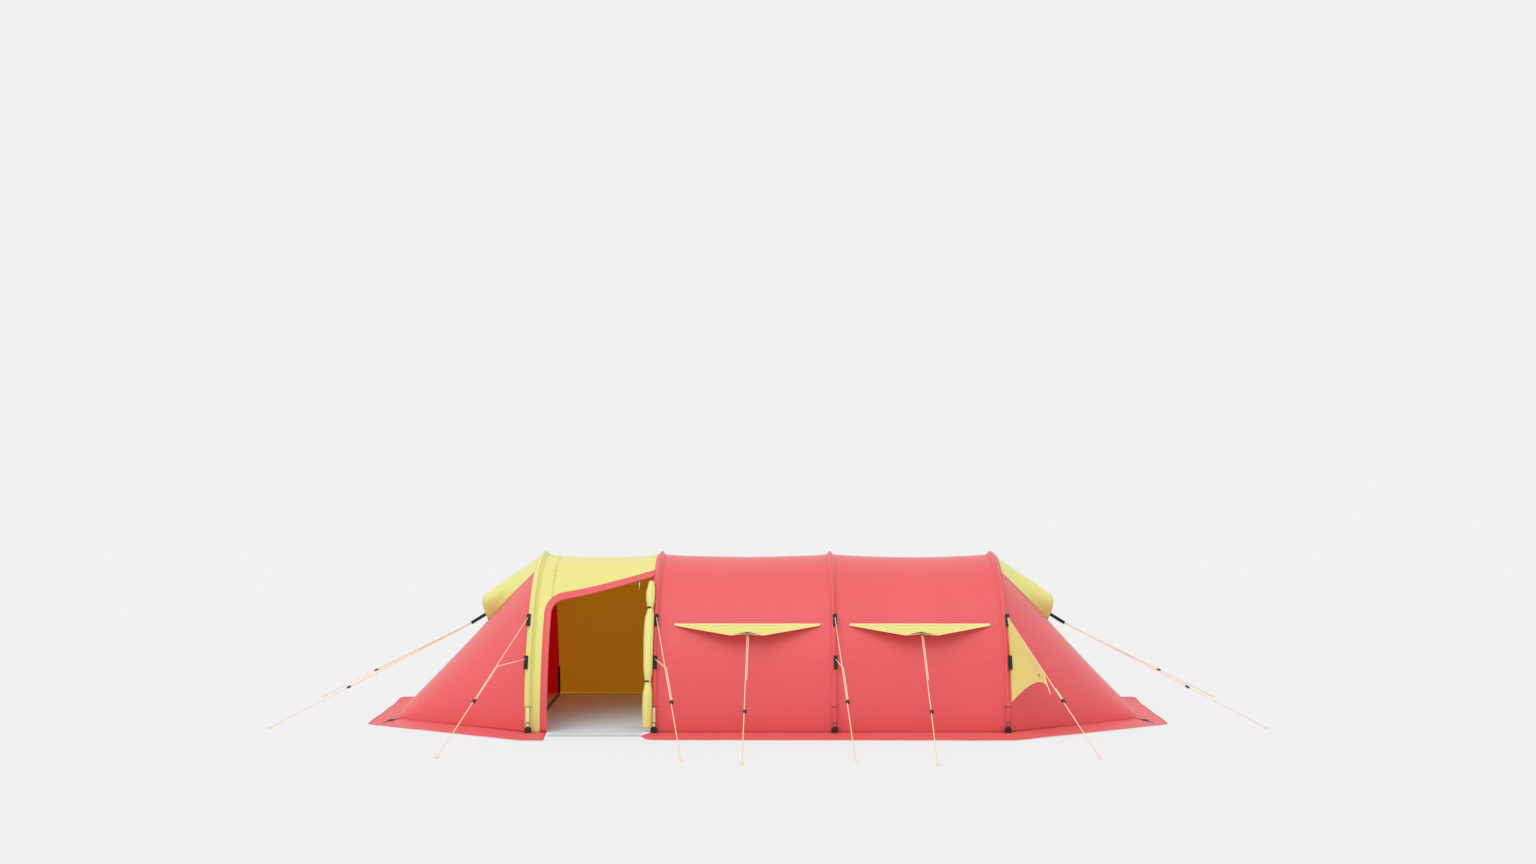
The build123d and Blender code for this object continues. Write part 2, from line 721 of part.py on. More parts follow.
# ---- export ----
def nodes():
    made = {
        "fly_vestibule": [fly_vestibule()],
        "fly_middle_bay": [bay(POLE_X[1], POLE_X[2])],
        "fly_cabin_bay": [bay(POLE_X[2], POLE_X[3])],
        "fly_porch_end": [end_shell(-1) - vent_block(-1)],
        "fly_cabin_end": [end_shell(1) - vent_block(1)],
        "vent_mesh": [end_shell(side) & vent_block(side) for side in (-1, 1)],
        "vent_hoods": [vent_hood(-1), vent_hood(1)],
        "hood_toggles": hood_toggles(),
        "snow_flap": [snow_flap()],
        "door_trim": [door_trim()],
        "door_roll": [door_roll()],
        "door_ties": door_ties(),
        "toggle_upper": [toggle(TIE_Z[0])],
        "toggle_lower": [toggle(TIE_Z[1])],
        "zip_slider": [zip_slider()],
        "zip_pull": [zip_pull()],
        "pole_ferrules": pole_ferrules(),
        "shock_cords": shock_cords(),
        "pole_sleeves": [sleeve(x) for x in POLE_X],
        "sleeve_bindings": sleeve_bindings(),
        "pole_cups": pole_cups(),
        "foot_straps": foot_straps(),
        "ladder_buckles": ladder_buckles(),
        "corner_straps": corner_straps(),
        "guy_tabs": guy_tabs(),
        "guy_rings": guy_rings(),
        "side_awnings": side_awnings(),
        "awning_patches": awning_patches(),
        "end_straps": end_straps(),
        "guy_wing": [guy_wing()],
        "groundsheet": [groundsheet()],
        "base_straps": base_straps(),
        "inner_canopy": [inner_canopy()],
        "inner_walls": [inner_porch_wall(), inner_wall(INNER_X[1] - 3)],
        "inner_door_roll": [inner_door_roll()],
        "inner_floor": [inner_floor()],
        "hanger_toggles": hanger_toggles(),
        "pole_guys": pole_guys(),
    }
    for i, x in enumerate(POLE_X):
        made[f"pole_{i + 1}"] = pole(x)
    lines = {}
    for side, where in ((-1, "front"), (1, "rear")):
        for i in range(4):
            lines[f"pole_{i + 1}_{where}"] = pole_line(i, side)
        for i in range(2):
            lines[f"awning_{i + 1}_{where}"] = awning_line(i, side)
        lines[f"porch_end_{where}"] = end_line(-1, side)
        lines[f"cabin_end_{where}"] = end_line(1, side)
    for name, line in lines.items():
        made[f"runner_{name}"] = [runner(*line)]
    awning_lines = [line for name, line in lines.items() if name.startswith("awning")]
    end_lines = [line for name, line in lines.items() if "_end_" in name]
    made["awning_guys"] = guys_of(awning_lines, (0.02, SPLIT))
    made["end_guys"] = guys_of(end_lines, (0.03, RUNNER_AT))
    return made


def main():
    os.makedirs("parts", exist_ok=True)
    for name, shapes in nodes().items():
        solids = [solid for shape in shapes for solid in shape.solids()]
        export_step(Compound(solids), f"parts/{name}.step")


main()
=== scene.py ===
"""Looks of the four-pole tunnel tent: cloth, webbing, cords, hardware, light and camera.

Everything is in metres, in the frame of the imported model. X runs along the tunnel, the porch
door is in the -Y wall, and Z is up. An angle t on an arch runs from 0 at the foot of the front
(-Y) wall to pi at the foot of the rear one.
"""
from math import asin, atan2, cos, exp, hypot, pi, radians, sin, sqrt

import bmesh
import bpy
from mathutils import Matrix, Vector, noise


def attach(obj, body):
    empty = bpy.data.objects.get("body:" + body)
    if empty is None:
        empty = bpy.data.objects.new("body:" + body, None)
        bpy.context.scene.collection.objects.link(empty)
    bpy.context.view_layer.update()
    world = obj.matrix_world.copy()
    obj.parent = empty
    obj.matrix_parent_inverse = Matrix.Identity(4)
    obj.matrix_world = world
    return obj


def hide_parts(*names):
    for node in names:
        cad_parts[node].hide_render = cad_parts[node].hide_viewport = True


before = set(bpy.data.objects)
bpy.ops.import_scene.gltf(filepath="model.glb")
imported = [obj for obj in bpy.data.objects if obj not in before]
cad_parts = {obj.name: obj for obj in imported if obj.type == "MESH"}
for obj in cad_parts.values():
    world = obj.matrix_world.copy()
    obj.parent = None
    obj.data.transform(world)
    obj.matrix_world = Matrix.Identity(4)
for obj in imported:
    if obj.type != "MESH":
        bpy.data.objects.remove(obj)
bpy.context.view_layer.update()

# ---- driving dimensions, as in the CAD ----
POLE_X = (-2.230, -1.060, 0.620, 2.230)
HALF_WIDTH, PEAK = 1.163, 1.589
SLEEVE_R = 0.016
STANDOFF = 0.018
FLY_A, FLY_B = HALF_WIDTH - STANDOFF, PEAK - STANDOFF
RIDGE_SAG, SIDE_SAG = 0.026, 0.004
END_X, END_A, END_B = 3.600, 0.400, 0.078
FLAP_Y, FLAP_KNEE_X, FLAP_CORNER = 1.555, 2.240, (3.830, 0.720)
FLAP_DOOR, FLAP_DOOR_Y = (-2.036, -1.172, -1.092), (-1.340, -1.528)
DOOR_LEFT, DOOR_RIGHT = -2.060, -1.086
DOOR_SHOULDER_Z, DOOR_TOP_Z, DOOR_CORNER_R = 1.186, 1.407, 0.130
TRIM_WIDTH, TRIM_RISE = 0.064, 0.052
SILL_Y = 1.336
SLEEVE_END_Z = 0.240
ROLL_X, ROLL_OUT = -1.121, 0.040
ROLL_FULL, ROLL_WAIST, ROLL_FLAT = 0.0465, 0.0245, 0.040  # its radii, and its side by the pole
ROLL_Z, TIE_Z = (0.060, 1.335), (1.120, 0.475)
SEAM_Z = 0.968
AWNING_SPANS = ((-0.885, 0.497), (0.768, 2.102))
AWNING_GAP, AWNING_SLOPE = 0.006, radians(19)
AWNING_REACH, AWNING_NOTCH, AWNING_TIP_HALF = 0.212, 0.178, 0.150
GUY_Z = (1.035, 0.665)
TAB_T, TAB_SHIFT = 0.0025, (-0.032, 0.006, 0.012, 0.032)
RING_R, RING_WIRE = 0.011, 0.002
CORD_R = 0.004
SPLIT, RUNNER_AT, STRAND_GAP, LEG_GAP = 0.375, 0.62, 0.012, 0.016
WING_EDGE, WING_TAIL, WING_FOOT_Z = 0.425, 0.53, 0.285
WING_INSET, TAIL_DROP = Vector((-0.008, 0, -0.008)), Vector((-0.036, 0, -0.052))
WING_CROWN = Vector((0.060, 0, 0.150))
PEGS = ((-2.839, 2.355), (-0.740, 2.474), (0.744, 2.432), (2.844, 2.364))
AWNING_PEGS = ((-0.219, 2.604), (1.425, 2.621))
END_PEG = (4.700, 0.930)
PEG_LOOP_R = 0.016
END_STRAP = ((2.812, 0.982), (2.965, 0.888))
HOOD_X = (2.262, 2.480, 2.700, 2.806)
HOOD_TOP_Z = (1.568, 1.415, 1.268, 1.185)
HOOD_ROOT, HOOD_TIP = 2.254, 2.790
VENT_HALF_WIDTH, VENT_Z = 0.110, (1.090, 1.330)
INNER_X, INNER_GAP = (-0.975, 2.150), 0.085
CABIN_DOOR = (0.430, 0.540, 0.650)  # half width, half height and middle of the oval doorway
CLOTH_T = 0.0012
FLAP_WIDTH, END_SLOPE = 0.41, 2.1
SIDES = ((-1, "front"), (1, "rear"))
ENDS = ((-1, "porch"), (1, "cabin"))
BACKDROP = (0.871, 0.871, 0.871, 1)

# ---- colours ----
RED = (0.760, 0.088, 0.096)
# The inside colours are deeper and darker than the outer ones: painted light and shade, for
# daylight coming through the thin cloth into the shaded inside.
RED_INSIDE = (0.500, 0.004, 0.002)
YELLOW = (0.760, 0.715, 0.210)
YELLOW_INSIDE = (0.600, 0.275, 0.010)
BLACK = (0.006, 0.006, 0.0065)
CORD_COLOUR = (0.960, 0.720, 0.420)


# ---- materials ----
def new_material(name, colour, roughness, metallic=0.0, specular=0.5, sheen=0.0):
    """A material with a Principled shader; returns it with its node tree and shader."""
    material = bpy.data.materials.new(name)
    material.use_nodes = True
    material.diffuse_color = (*colour, 1)
    tree = material.node_tree
    shader = tree.nodes["Principled BSDF"]
    shader.inputs["Base Color"].default_value = (*colour, 1)
    shader.inputs["Roughness"].default_value = roughness
    shader.inputs["Metallic"].default_value = metallic
    shader.inputs["Specular IOR Level"].default_value = specular
    shader.inputs["Sheen Weight"].default_value = sheen
    return material, tree, shader


def add(tree, kind, **settings):
    node = tree.nodes.new(kind)
    for key, value in settings.items():
        setattr(node, key, value)
    return node


def mapped(tree, scale=(1, 1, 1), uv=False):
    """Coordinates in metres times scale: the surface's own UVs, or the object's."""
    source = add(tree, "ShaderNodeTexCoord")
    mapping = add(tree, "ShaderNodeMapping")
    mapping.inputs["Scale"].default_value = scale
    tree.links.new(source.outputs["UV" if uv else "Object"], mapping.inputs["Vector"])
    return mapping.outputs["Vector"]


def math_node(tree, operation, first, second=None, clamp=False):
    node = add(tree, "ShaderNodeMath", operation=operation, use_clamp=clamp)
    for socket, value in zip(node.inputs, (first, second)):
        if value is None:
            continue
        if isinstance(value, (int, float)):
            socket.default_value = value
        else:
            tree.links.new(value, socket)
    return node.outputs[0]


def tint(tree, shader, factor, low, high):
    """Base colour between two colours, by a factor."""
    mix = add(tree, "ShaderNodeMix", data_type="RGBA")
    mix.inputs["A"].default_value = (*low, 1)
    mix.inputs["B"].default_value = (*high, 1)
    tree.links.new(factor, mix.inputs["Factor"])
    tree.links.new(mix.outputs["Result"], shader.inputs["Base Color"])


def bump(tree, shader, height, strength, distance):
    node = add(tree, "ShaderNodeBump")
    node.inputs["Strength"].default_value = strength
    node.inputs["Distance"].default_value = distance
    tree.links.new(height, node.inputs["Height"])
    tree.links.new(node.outputs["Normal"], shader.inputs["Normal"])


def noise_at(tree, vector, scale, detail=3.0):
    node = add(tree, "ShaderNodeTexNoise")
    node.inputs["Scale"].default_value = scale
    node.inputs["Detail"].default_value = detail
    tree.links.new(vector, node.inputs["Vector"])
    return node.outputs["Fac"]


def wave(tree, vector, scale, direction, profile="SIN"):
    node = add(tree, "ShaderNodeTexWave", bands_direction=direction, wave_profile=profile)
    node.inputs["Scale"].default_value = scale
    tree.links.new(vector, node.inputs["Vector"])
    return node.outputs["Fac"]


def crossed(tree, operation, uv, scale):
    """Bands along and across a surface, put together."""
    return math_node(tree, operation, wave(tree, uv, scale, "X"), wave(tree, uv, scale, "Y"))


def lighter(colour, by):
    return tuple(min(1.0, c * by) for c in colour)


def ripstop(name, colour, roughness=0.42, sheen=0.15, pitch=0.005, painted_glow=0.0):
    """Coated ripstop: a fine weave, a grid of thicker threads, and slow changes of tone.

    The inner faces get a painted glow: emission that stands in for daylight through the thin cloth.
    """
    material, tree, shader = new_material(name, colour, roughness, sheen=sheen)
    # Painted light: emission in the cloth's own colour on the inner faces, for daylight coming
    # through the cloth.
    if painted_glow:
        shader.inputs["Specular IOR Level"].default_value = 0.1
        shader.inputs["Emission Color"].default_value = (*colour, 1)
        shader.inputs["Emission Strength"].default_value = painted_glow
    uv = mapped(tree, uv=True)
    grid = pi / 10 / pitch
    threads = math_node(tree, "POWER", crossed(tree, "MAXIMUM", uv, grid), 12)
    weave = crossed(tree, "MULTIPLY", uv, grid * 8)
    height = math_node(tree, "ADD", threads, math_node(tree, "MULTIPLY", weave, 0.4))
    bump(tree, shader, height, 0.35, 0.0002)
    clouds = noise_at(tree, mapped(tree), 1.3)
    tone = math_node(tree, "ADD", math_node(tree, "MULTIPLY", clouds, 0.8),
                     math_node(tree, "MULTIPLY", threads, 0.25), clamp=True)
    tint(tree, shader, tone, lighter(colour, 0.93), lighter(colour, 1.06))
    return material


def webbing(name, colour, pitch=0.0022):
    """Flat woven tape: diagonal ribs along its length, crossed by fine bands."""
    material, tree, shader = new_material(name, colour, 0.75, sheen=0.3)
    uv = mapped(tree, uv=True)
    ribs = wave(tree, uv, pi / 10 / pitch, "DIAGONAL")
    across = wave(tree, uv, pi / 10 / pitch, "Y")
    height = math_node(tree, "MULTIPLY", ribs, across)
    bump(tree, shader, height, 0.6, 0.0004)
    tint(tree, shader, height, lighter(colour, 0.88), lighter(colour, 1.15))
    return material


def braid(name, colour):
    """Braided cord: two crossing sets of strands."""
    material, tree, shader = new_material(name, colour, 0.6, sheen=0.2)
    uv = mapped(tree, uv=True)
    one = wave(tree, uv, 60, "DIAGONAL")
    other = wave(tree, mapped(tree, (-1, 1, 1), uv=True), 60, "DIAGONAL")
    height = math_node(tree, "MAXIMUM", one, other)
    bump(tree, shader, height, 0.6, 0.0005)
    tint(tree, shader, height, lighter(colour, 0.82), lighter(colour, 1.1))
    return material


def moulded(name, colour, roughness=0.45):
    """Moulded nylon: a fine grain, and a little wear."""
    material, tree, shader = new_material(name, colour, roughness)
    place = mapped(tree)
    grain = noise_at(tree, place, 900, 2)
    bump(tree, shader, grain, 0.25, 0.0003)
    wear = noise_at(tree, place, 40)
    tint(tree, shader, wear, lighter(colour, 0.8), lighter(colour, 1.9))
    return material


def metal(name, colour, roughness=0.35):
    """Anodised tube or plated wire, with fine lines and a soft change of gloss."""
    material, tree, shader = new_material(name, colour, roughness, metallic=1.0)
    place = mapped(tree)
    streaks = noise_at(tree, mapped(tree, (1, 1, 0.05)), 700, 2)
    bump(tree, shader, streaks, 0.15, 0.0001)
    rough = math_node(tree, "ADD", math_node(tree, "MULTIPLY", noise_at(tree, place, 60), 0.15),
                      roughness - 0.08)
    tree.links.new(rough, shader.inputs["Roughness"])
    return material


def mesh_cloth(name, colour):
    """Fine insect mesh, as a dark open weave."""
    material, tree, shader = new_material(name, colour, 0.8)
    cells = crossed(tree, "MAXIMUM", mapped(tree, uv=True), pi / 10 / 0.0016)
    bump(tree, shader, cells, 0.8, 0.0004)
    tint(tree, shader, cells, (0.002, 0.002, 0.002), lighter(colour, 2.0))
    return material


def ground_cloth(name, colour):
    """Heavy coated floor cloth with a coarse weave and soft creases."""
    material, tree, shader = new_material(name, colour, 0.5)
    weave = crossed(tree, "MULTIPLY", mapped(tree, uv=True), 90)
    creases = noise_at(tree, mapped(tree), 6, 4)
    bump(tree, shader, math_node(tree, "ADD", weave, creases), 0.4, 0.001)
    tint(tree, shader, creases, lighter(colour, 0.92), lighter(colour, 1.08))
    return material


M = {
    "red": ripstop("cloth_red", RED),
    # The inside materials carry painted light: a glow for daylight coming through the thin cloth.
    "red_inside": ripstop("cloth_red_inside", RED_INSIDE, 0.8, 0.0, painted_glow=0.28),
    "yellow": ripstop("cloth_yellow", YELLOW),
    "yellow_inside": ripstop("cloth_yellow_inside", YELLOW_INSIDE, 0.8, 0.0, painted_glow=0.22),
    "flap": ripstop("cloth_flap", (0.780, 0.085, 0.090), 0.5, 0.1),
    "inner": ripstop("cloth_cabin", (0.720, 0.520, 0.160), 0.7, 0.3),
    # The floor cloth's blue tint is painted light: it offsets warm light bounced onto the pale grey
    # cloth from the ochre walls.
    "floor": ground_cloth("cloth_floor", (0.760, 0.870, 0.940)),
    "mesh": mesh_cloth("cloth_mesh", (0.02, 0.02, 0.022)),
    "tape_red": webbing("tape_red", (0.760, 0.090, 0.090), 0.003),
    "tape_yellow": webbing("tape_yellow", (0.950, 0.860, 0.420), 0.003),
    "binding": webbing("tape_black", BLACK, 0.0015),
    "webbing": webbing("webbing_black", BLACK),
    "cord": braid("cord_braid", CORD_COLOUR),
    "elastic": braid("cord_elastic", (0.015, 0.015, 0.016)),
    "plastic": moulded("nylon_black", (0.012, 0.012, 0.013)),
    "pole": metal("tube_anodised", (0.600, 0.600, 0.630)),
    "ring": metal("wire_plated", (0.120, 0.120, 0.125), 0.3),
}


# ---- shapes on the tent ----
def clamp(value, low=0.0, high=1.0):
    return max(low, min(high, value))


def smooth(value, low, high):
    """0 below low, 1 above high, and an even curve between."""
    t = clamp((value - low) / (high - low))
    return t * t * (3 - 2 * t)


def arch_y(z, a=HALF_WIDTH, b=PEAK):
    return a * sqrt(max(0.0, 1 - (z / b) ** 2))


def wall_y(z):
    return arch_y(z, FLY_A, FLY_B)


def outward(t, a=FLY_A, b=FLY_B):
    """Unit normal of an arch at its angle t, which runs from the front foot to the rear one."""
    return Vector((0, -cos(t) / a, sin(t) / b)).normalized()


def arch_point(x, t, a=FLY_A, b=FLY_B):
    return Vector((x, -a * cos(t), b * sin(t)))


def angle_at(z, a=FLY_A, b=FLY_B):
    """The arch's own angle at height z on the front wall."""
    return atan2(z / b, arch_y(z, a, b) / a)


def arc_lengths(a, b, steps=720):
    """Length along the arch at even steps of its angle."""
    out = [0.0]
    for k in range(steps):
        t0, t1 = pi * k / steps, pi * (k + 1) / steps
        out.append(out[-1] + hypot(a * (cos(t1) - cos(t0)), b * (sin(t1) - sin(t0))))
    return out


FLY_ARC = arc_lengths(FLY_A, FLY_B)


def length_at(t):
    """Length along the fly's arch at angle t."""
    k = clamp(t / pi) * (len(FLY_ARC) - 1)
    low = min(int(k), len(FLY_ARC) - 2)
    return FLY_ARC[low] + (FLY_ARC[low + 1] - FLY_ARC[low]) * (k - low)


def even_angles(count, first=0.0, last=pi, a=FLY_A, b=FLY_B):
    """Angles that split the arch between two angles into even lengths."""
    fine = 600
    angles = [first + (last - first) * k / fine for k in range(fine + 1)]
    run = [0.0]
    for t0, t1 in zip(angles, angles[1:]):
        run.append(run[-1] + hypot(a * (cos(t1) - cos(t0)), b * (sin(t1) - sin(t0))))
    out, k = [], 0
    for i in range(count + 1):
        want = run[-1] * i / count
        while k < fine - 1 and run[k + 1] < want:
            k += 1
        share = (want - run[k]) / max(run[k + 1] - run[k], 1e-9)
        out.append(angles[k] + (angles[k + 1] - angles[k]) * clamp(share))
    return out


# places that pull the cloth: each guy tab, as x and length along the arch
PULLS = [(x, s) for x in POLE_X for z in GUY_Z
         for s in (length_at(angle_at(z)), FLY_ARC[-1] - length_at(angle_at(z)))]


def creases(x, t):
    """How far the cloth stands off its plain arch: puckers at the poles and folds at pulls."""
    s = length_at(t)
    near = min(abs(x - p) for p in POLE_X)
    off = 0.0022 * exp(-near / 0.05) * noise.noise(Vector((x * 3, s * 26, 1.7)))
    off += 0.0040 * noise.noise(Vector((x * 2.1, s * 1.6, 4.2))) * smooth(near, 0.0, 0.25)
    off += 0.0016 * noise.noise(Vector((x * 7.0, s * 2.2, 9.1))) * smooth(near, 0.0, 0.15)
    for px, ps in PULLS:
        dx, ds = x - px, s - ps
        far = hypot(dx, ds)
        if 0.02 < far < 0.7:
            ray = cos(9 * atan2(ds, abs(dx)))
            off += 0.0028 * exp(-far / 0.16) * smooth(far, 0.02, 0.07) * ray
    return off * smooth(min(t, pi - t), 0.0, 0.06)


def bay_point(x0, x1, x, t, out=0.0):
    """A point on the cloth between two poles."""
    u = (x - x0) / (x1 - x0)
    slack = 4 * u * (1 - u)
    a, b = FLY_A - SIDE_SAG * slack, FLY_B - RIDGE_SAG * slack
    return arch_point(x, t, a, b) + outward(t) * (creases(x, t) + out)


def end_point(side, u, t, out=0.0):
    """A point on a sloping end: u is 0 at the pole and 1 at the foot."""
    a = FLY_A + u * (END_A - FLY_A)
    b = FLY_B + u * (END_B - FLY_B)
    x = POLE_X[3] + u * (END_X - POLE_X[3])
    hollow = 0.024 * 4 * u * (1 - u) * sin(t) ** 0.7
    normal = Vector((0.70 * sin(t), -0.80 * cos(t), 0.75 * sin(t) + 0.05)).normalized()
    off = 0.0022 * exp(-u / 0.03) * noise.noise(Vector((u * 4, t * 30, 2.2 + side)))
    off += 0.0050 * noise.noise(Vector((u * 3.0, t * 2.2, 6.2 + side))) * smooth(u, 0, 0.2)
    off += 0.0030 * noise.noise(Vector((u * 1.5, t * 9.0, 3.1 + side))) * smooth(u, 0.6, 1.0)
    place = arch_point(x, t, a, b)
    place += normal * (out - hollow + off * smooth(min(t, pi - t), 0.0, 0.06))
    place.z = max(place.z, 0.0)
    return Vector((side * place.x, place.y, place.z))


# ---- building meshes ----
def finished(obj, nodes=()):
    """Makes a piece ride on the tent, and hides the CAD nodes that it stands for."""
    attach(obj, "root")
    if nodes:
        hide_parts(*nodes)
    return obj


def mesh_object(name, verts, faces, materials, uvs):
    """A mesh piece; uvs holds one pair per vertex, in metres."""
    mesh = bpy.data.meshes.new(name)
    mesh.from_pydata([tuple(v) for v in verts], [], faces)
    for material in materials:
        mesh.materials.append(M[material])
    layer = mesh.uv_layers.new(name="UVMap")
    for loop in mesh.loops:
        layer.data[loop.index].uv = uvs[loop.vertex_index]
    mesh.validate()
    obj = bpy.data.objects.new(name, mesh)
    bpy.context.scene.collection.objects.link(obj)
    mesh.shade_smooth()
    return obj


def thicken(obj, thickness, offset=-1.0, inside=0):
    """Gives a sheet its thickness; inside shifts the material of the back faces."""
    solid = obj.modifiers.new("thickness", "SOLIDIFY")
    solid.thickness = thickness
    solid.offset = offset
    solid.material_offset = inside
    solid.use_even_offset = False
    return obj


def grid_sheet(name, rows, materials, uv_rows, flip=False, close=False, capped=False):
    """A sheet from rows of points, all rows the same length; close joins each row's ends."""
    verts = [p for row in rows for p in row]
    wide = len(rows[0])
    uvs = [uv for row in uv_rows for uv in row]
    faces = []
    for r in range(len(rows) - 1):
        for c in range(wide if close else wide - 1):
            n = (c + 1) % wide
            quad = (r * wide + c, r * wide + n, (r + 1) * wide + n, (r + 1) * wide + c)
            faces.append(quad[::-1] if flip else quad)
    if capped:
        faces.append(tuple(range(wide)))
        faces.append(tuple(len(verts) - 1 - k for k in range(wide)))
    return mesh_object(name, verts, faces, materials, uvs)


def cloth_piece(name, rows, materials, uvs, nodes, slot, thick=CLOTH_T, offset=-1.0, **how):
    """A finished sheet with its thickness; a second material goes on its inner side."""
    sheet = grid_sheet(name, rows, materials, uvs, **how)
    return finished(thicken(sheet, thick, offset, len(materials) - 1), nodes)


def frames_along(path):
    """Level-kept side and up vectors at each point of a path."""
    out = []
    side = None
    for i, p in enumerate(path):
        along = (path[min(i + 1, len(path) - 1)] - path[max(i - 1, 0)]).normalized()
        if side is None:
            ref = Vector((0, 0, 1)) if abs(along.z) < 0.95 else Vector((1, 0, 0))
            side = along.cross(ref).normalized()
        else:
            side = (side - along * side.dot(along)).normalized()
        out.append((p, side, side.cross(along).normalized()))
    return out


def tube(name, path, radius, material, sides=14, capped=True):
    """A round tube along a path; radius is a number, or a function of the share of the path."""
    path = [Vector(p) for p in path]
    grow = radius if callable(radius) else (lambda share: radius)
    rows, uv_rows, run = [], [], 0.0
    for i, (p, side, up) in enumerate(frames_along(path)):
        run += (p - path[i - 1]).length if i else 0.0
        r = grow(i / (len(path) - 1))
        ring = [p + side * r * cos(2 * pi * k / sides) + up * r * sin(2 * pi * k / sides)
                for k in range(sides)]
        rows.append(ring)
        uv_rows.append([(2 * pi * r * k / sides, run) for k in range(sides)])
    return grid_sheet(name, rows, [material], uv_rows, flip=True, close=True, capped=capped)


def circle(centre, right, up, radius):
    turns = [2 * pi * k / 24 for k in range(25)]
    return [centre + (Vector(right) * cos(a) + Vector(up) * sin(a)) * radius for a in turns]


def ribbon(name, path, ups, width, thickness, material, rise=0.0):
    """A flat band along a path; ups are its outward normals, and it is crowned by rise."""
    path = [Vector(p) for p in path]
    rows, uv_rows, run = [], [], 0.0
    steps = 4
    for i, p in enumerate(path):
        along = (path[min(i + 1, len(path) - 1)] - path[max(i - 1, 0)]).normalized()
        up = Vector(ups[i]).normalized()
        side = along.cross(up).normalized()
        run += (p - path[i - 1]).length if i else 0.0
        row, uv_row = [], []
        for k in range(steps + 1):
            v = k / steps - 0.5
            row.append(p + side * width * v + up * (rise * (1 - 4 * v * v)))
            uv_row.append((width * v, run))
        rows.append(row)
        uv_rows.append(uv_row)
    obj = grid_sheet(name, rows, [material], uv_rows)
    return thicken(obj, thickness, 1.0)


def joined(name, objects):
    """Several meshes as one piece, with their modifiers applied."""
    graph = bpy.context.evaluated_depsgraph_get()
    graph.update()
    merged = bmesh.new()
    materials = []
    for obj in objects:
        done = obj.evaluated_get(graph).to_mesh()
        start = len(merged.faces)
        merged.from_mesh(done)
        merged.faces.ensure_lookup_table()
        for material in obj.data.materials:
            if material not in materials:
                materials.append(material)
        for face in merged.faces[start:]:
            own = obj.data.materials[min(face.material_index, len(obj.data.materials) - 1)]
            face.material_index = materials.index(own)
        obj.evaluated_get(graph).to_mesh_clear()
    mesh = bpy.data.meshes.new(name)
    merged.to_mesh(mesh)
    merged.free()
    for material in materials:
        mesh.materials.append(material)
    for obj in objects:
        bpy.data.objects.remove(obj)
    out = bpy.data.objects.new(name, mesh)
    bpy.context.scene.collection.objects.link(out)
    mesh.shade_smooth()
    return out


# ---- camera, light and floor ----
def stage():
    camera = bpy.data.objects.new("camera", bpy.data.cameras.new("camera"))
    camera.data.lens = 38.44
    camera.data.sensor_width = 36
    camera.data.clip_end = 200
    camera.location = (0, -16.4, 2.797)
    camera.rotation_euler = (pi / 2, 0, 0)
    bpy.context.scene.collection.objects.link(camera)
    bpy.context.scene.camera = camera
    bpy.context.scene.view_settings.view_transform = "Standard"

    world = bpy.data.worlds.new("studio")
    world.use_nodes = True
    sky = world.node_tree.nodes["Background"]
    sky.inputs["Color"].default_value = BACKDROP
    sky.inputs["Strength"].default_value = 1.0
    bpy.context.scene.world = world

    sun = bpy.data.objects.new("key", bpy.data.lights.new("key", "SUN"))
    sun.data.energy = 1.0
    sun.data.angle = radians(50)
    sun.rotation_euler = Vector((0.45, 0.55, -1.0)).to_track_quat("-Z", "Y").to_euler()
    bpy.context.scene.collection.objects.link(sun)

    paper, tree, shader = new_material("floor_paper", (0.24, 0.24, 0.24), 1.0, specular=0.0)
    shader.inputs["Emission Color"].default_value = BACKDROP
    shader.inputs["Emission Strength"].default_value = 0.70
    mesh = bpy.data.meshes.new("floor")
    mesh.from_pydata([(-90, -40, -0.001), (90, -40, -0.001), (90, 140, -0.001), (-90, 140, -0.001)],
                     [], [(0, 1, 2, 3)])
    mesh.materials.append(paper)
    floor = bpy.data.objects.new("floor", mesh)
    bpy.context.scene.collection.objects.link(floor)


# ---- guys ----
def lean_out(z, side):
    """Outward normal of the pole line at height z, on one side."""
    y = arch_y(z)
    return Vector((0, side * y / HALF_WIDTH ** 2, z / PEAK ** 2)).normalized()


def tab_origin(x, z, side):
    return Vector((x, side * arch_y(z), z)) + lean_out(z, side) * (SLEEVE_R + 0.001)


def ring_centre(index, z, side):
    x = POLE_X[index] + TAB_SHIFT[index]
    return tab_origin(x, z, side) + lean_out(z, side) * (TAB_T + RING_R + RING_WIRE + 0.0005)


def awning_axes(side):
    out = Vector((0, side * cos(AWNING_SLOPE), -sin(AWNING_SLOPE)))
    up = Vector((0, side * sin(AWNING_SLOPE), cos(AWNING_SLOPE)))
    return out, up


def awning_seam(index, side):
    x0, x1 = AWNING_SPANS[index]
    return Vector(((x0 + x1) / 2, side * (wall_y(SEAM_Z) + AWNING_GAP), SEAM_Z))


def awning_ring(index, side):
    out, _ = awning_axes(side)
    return awning_seam(index, side) + out * (AWNING_NOTCH + RING_R + RING_WIRE + 0.0005)


def end_ring(end):
    x, z = END_STRAP[1]
    return Vector((end * (x + RING_R + RING_WIRE + 0.0005), 0, z - 0.007))


def foot_of(peg, side):
    return Vector((peg[0], side * peg[1], CORD_R + 0.0005))


def cord_tube(name, first, last, node):
    line = tube(name, [first, first.lerp(last, 0.5), last], CORD_R, "cord", 12)
    return finished(line, [node])


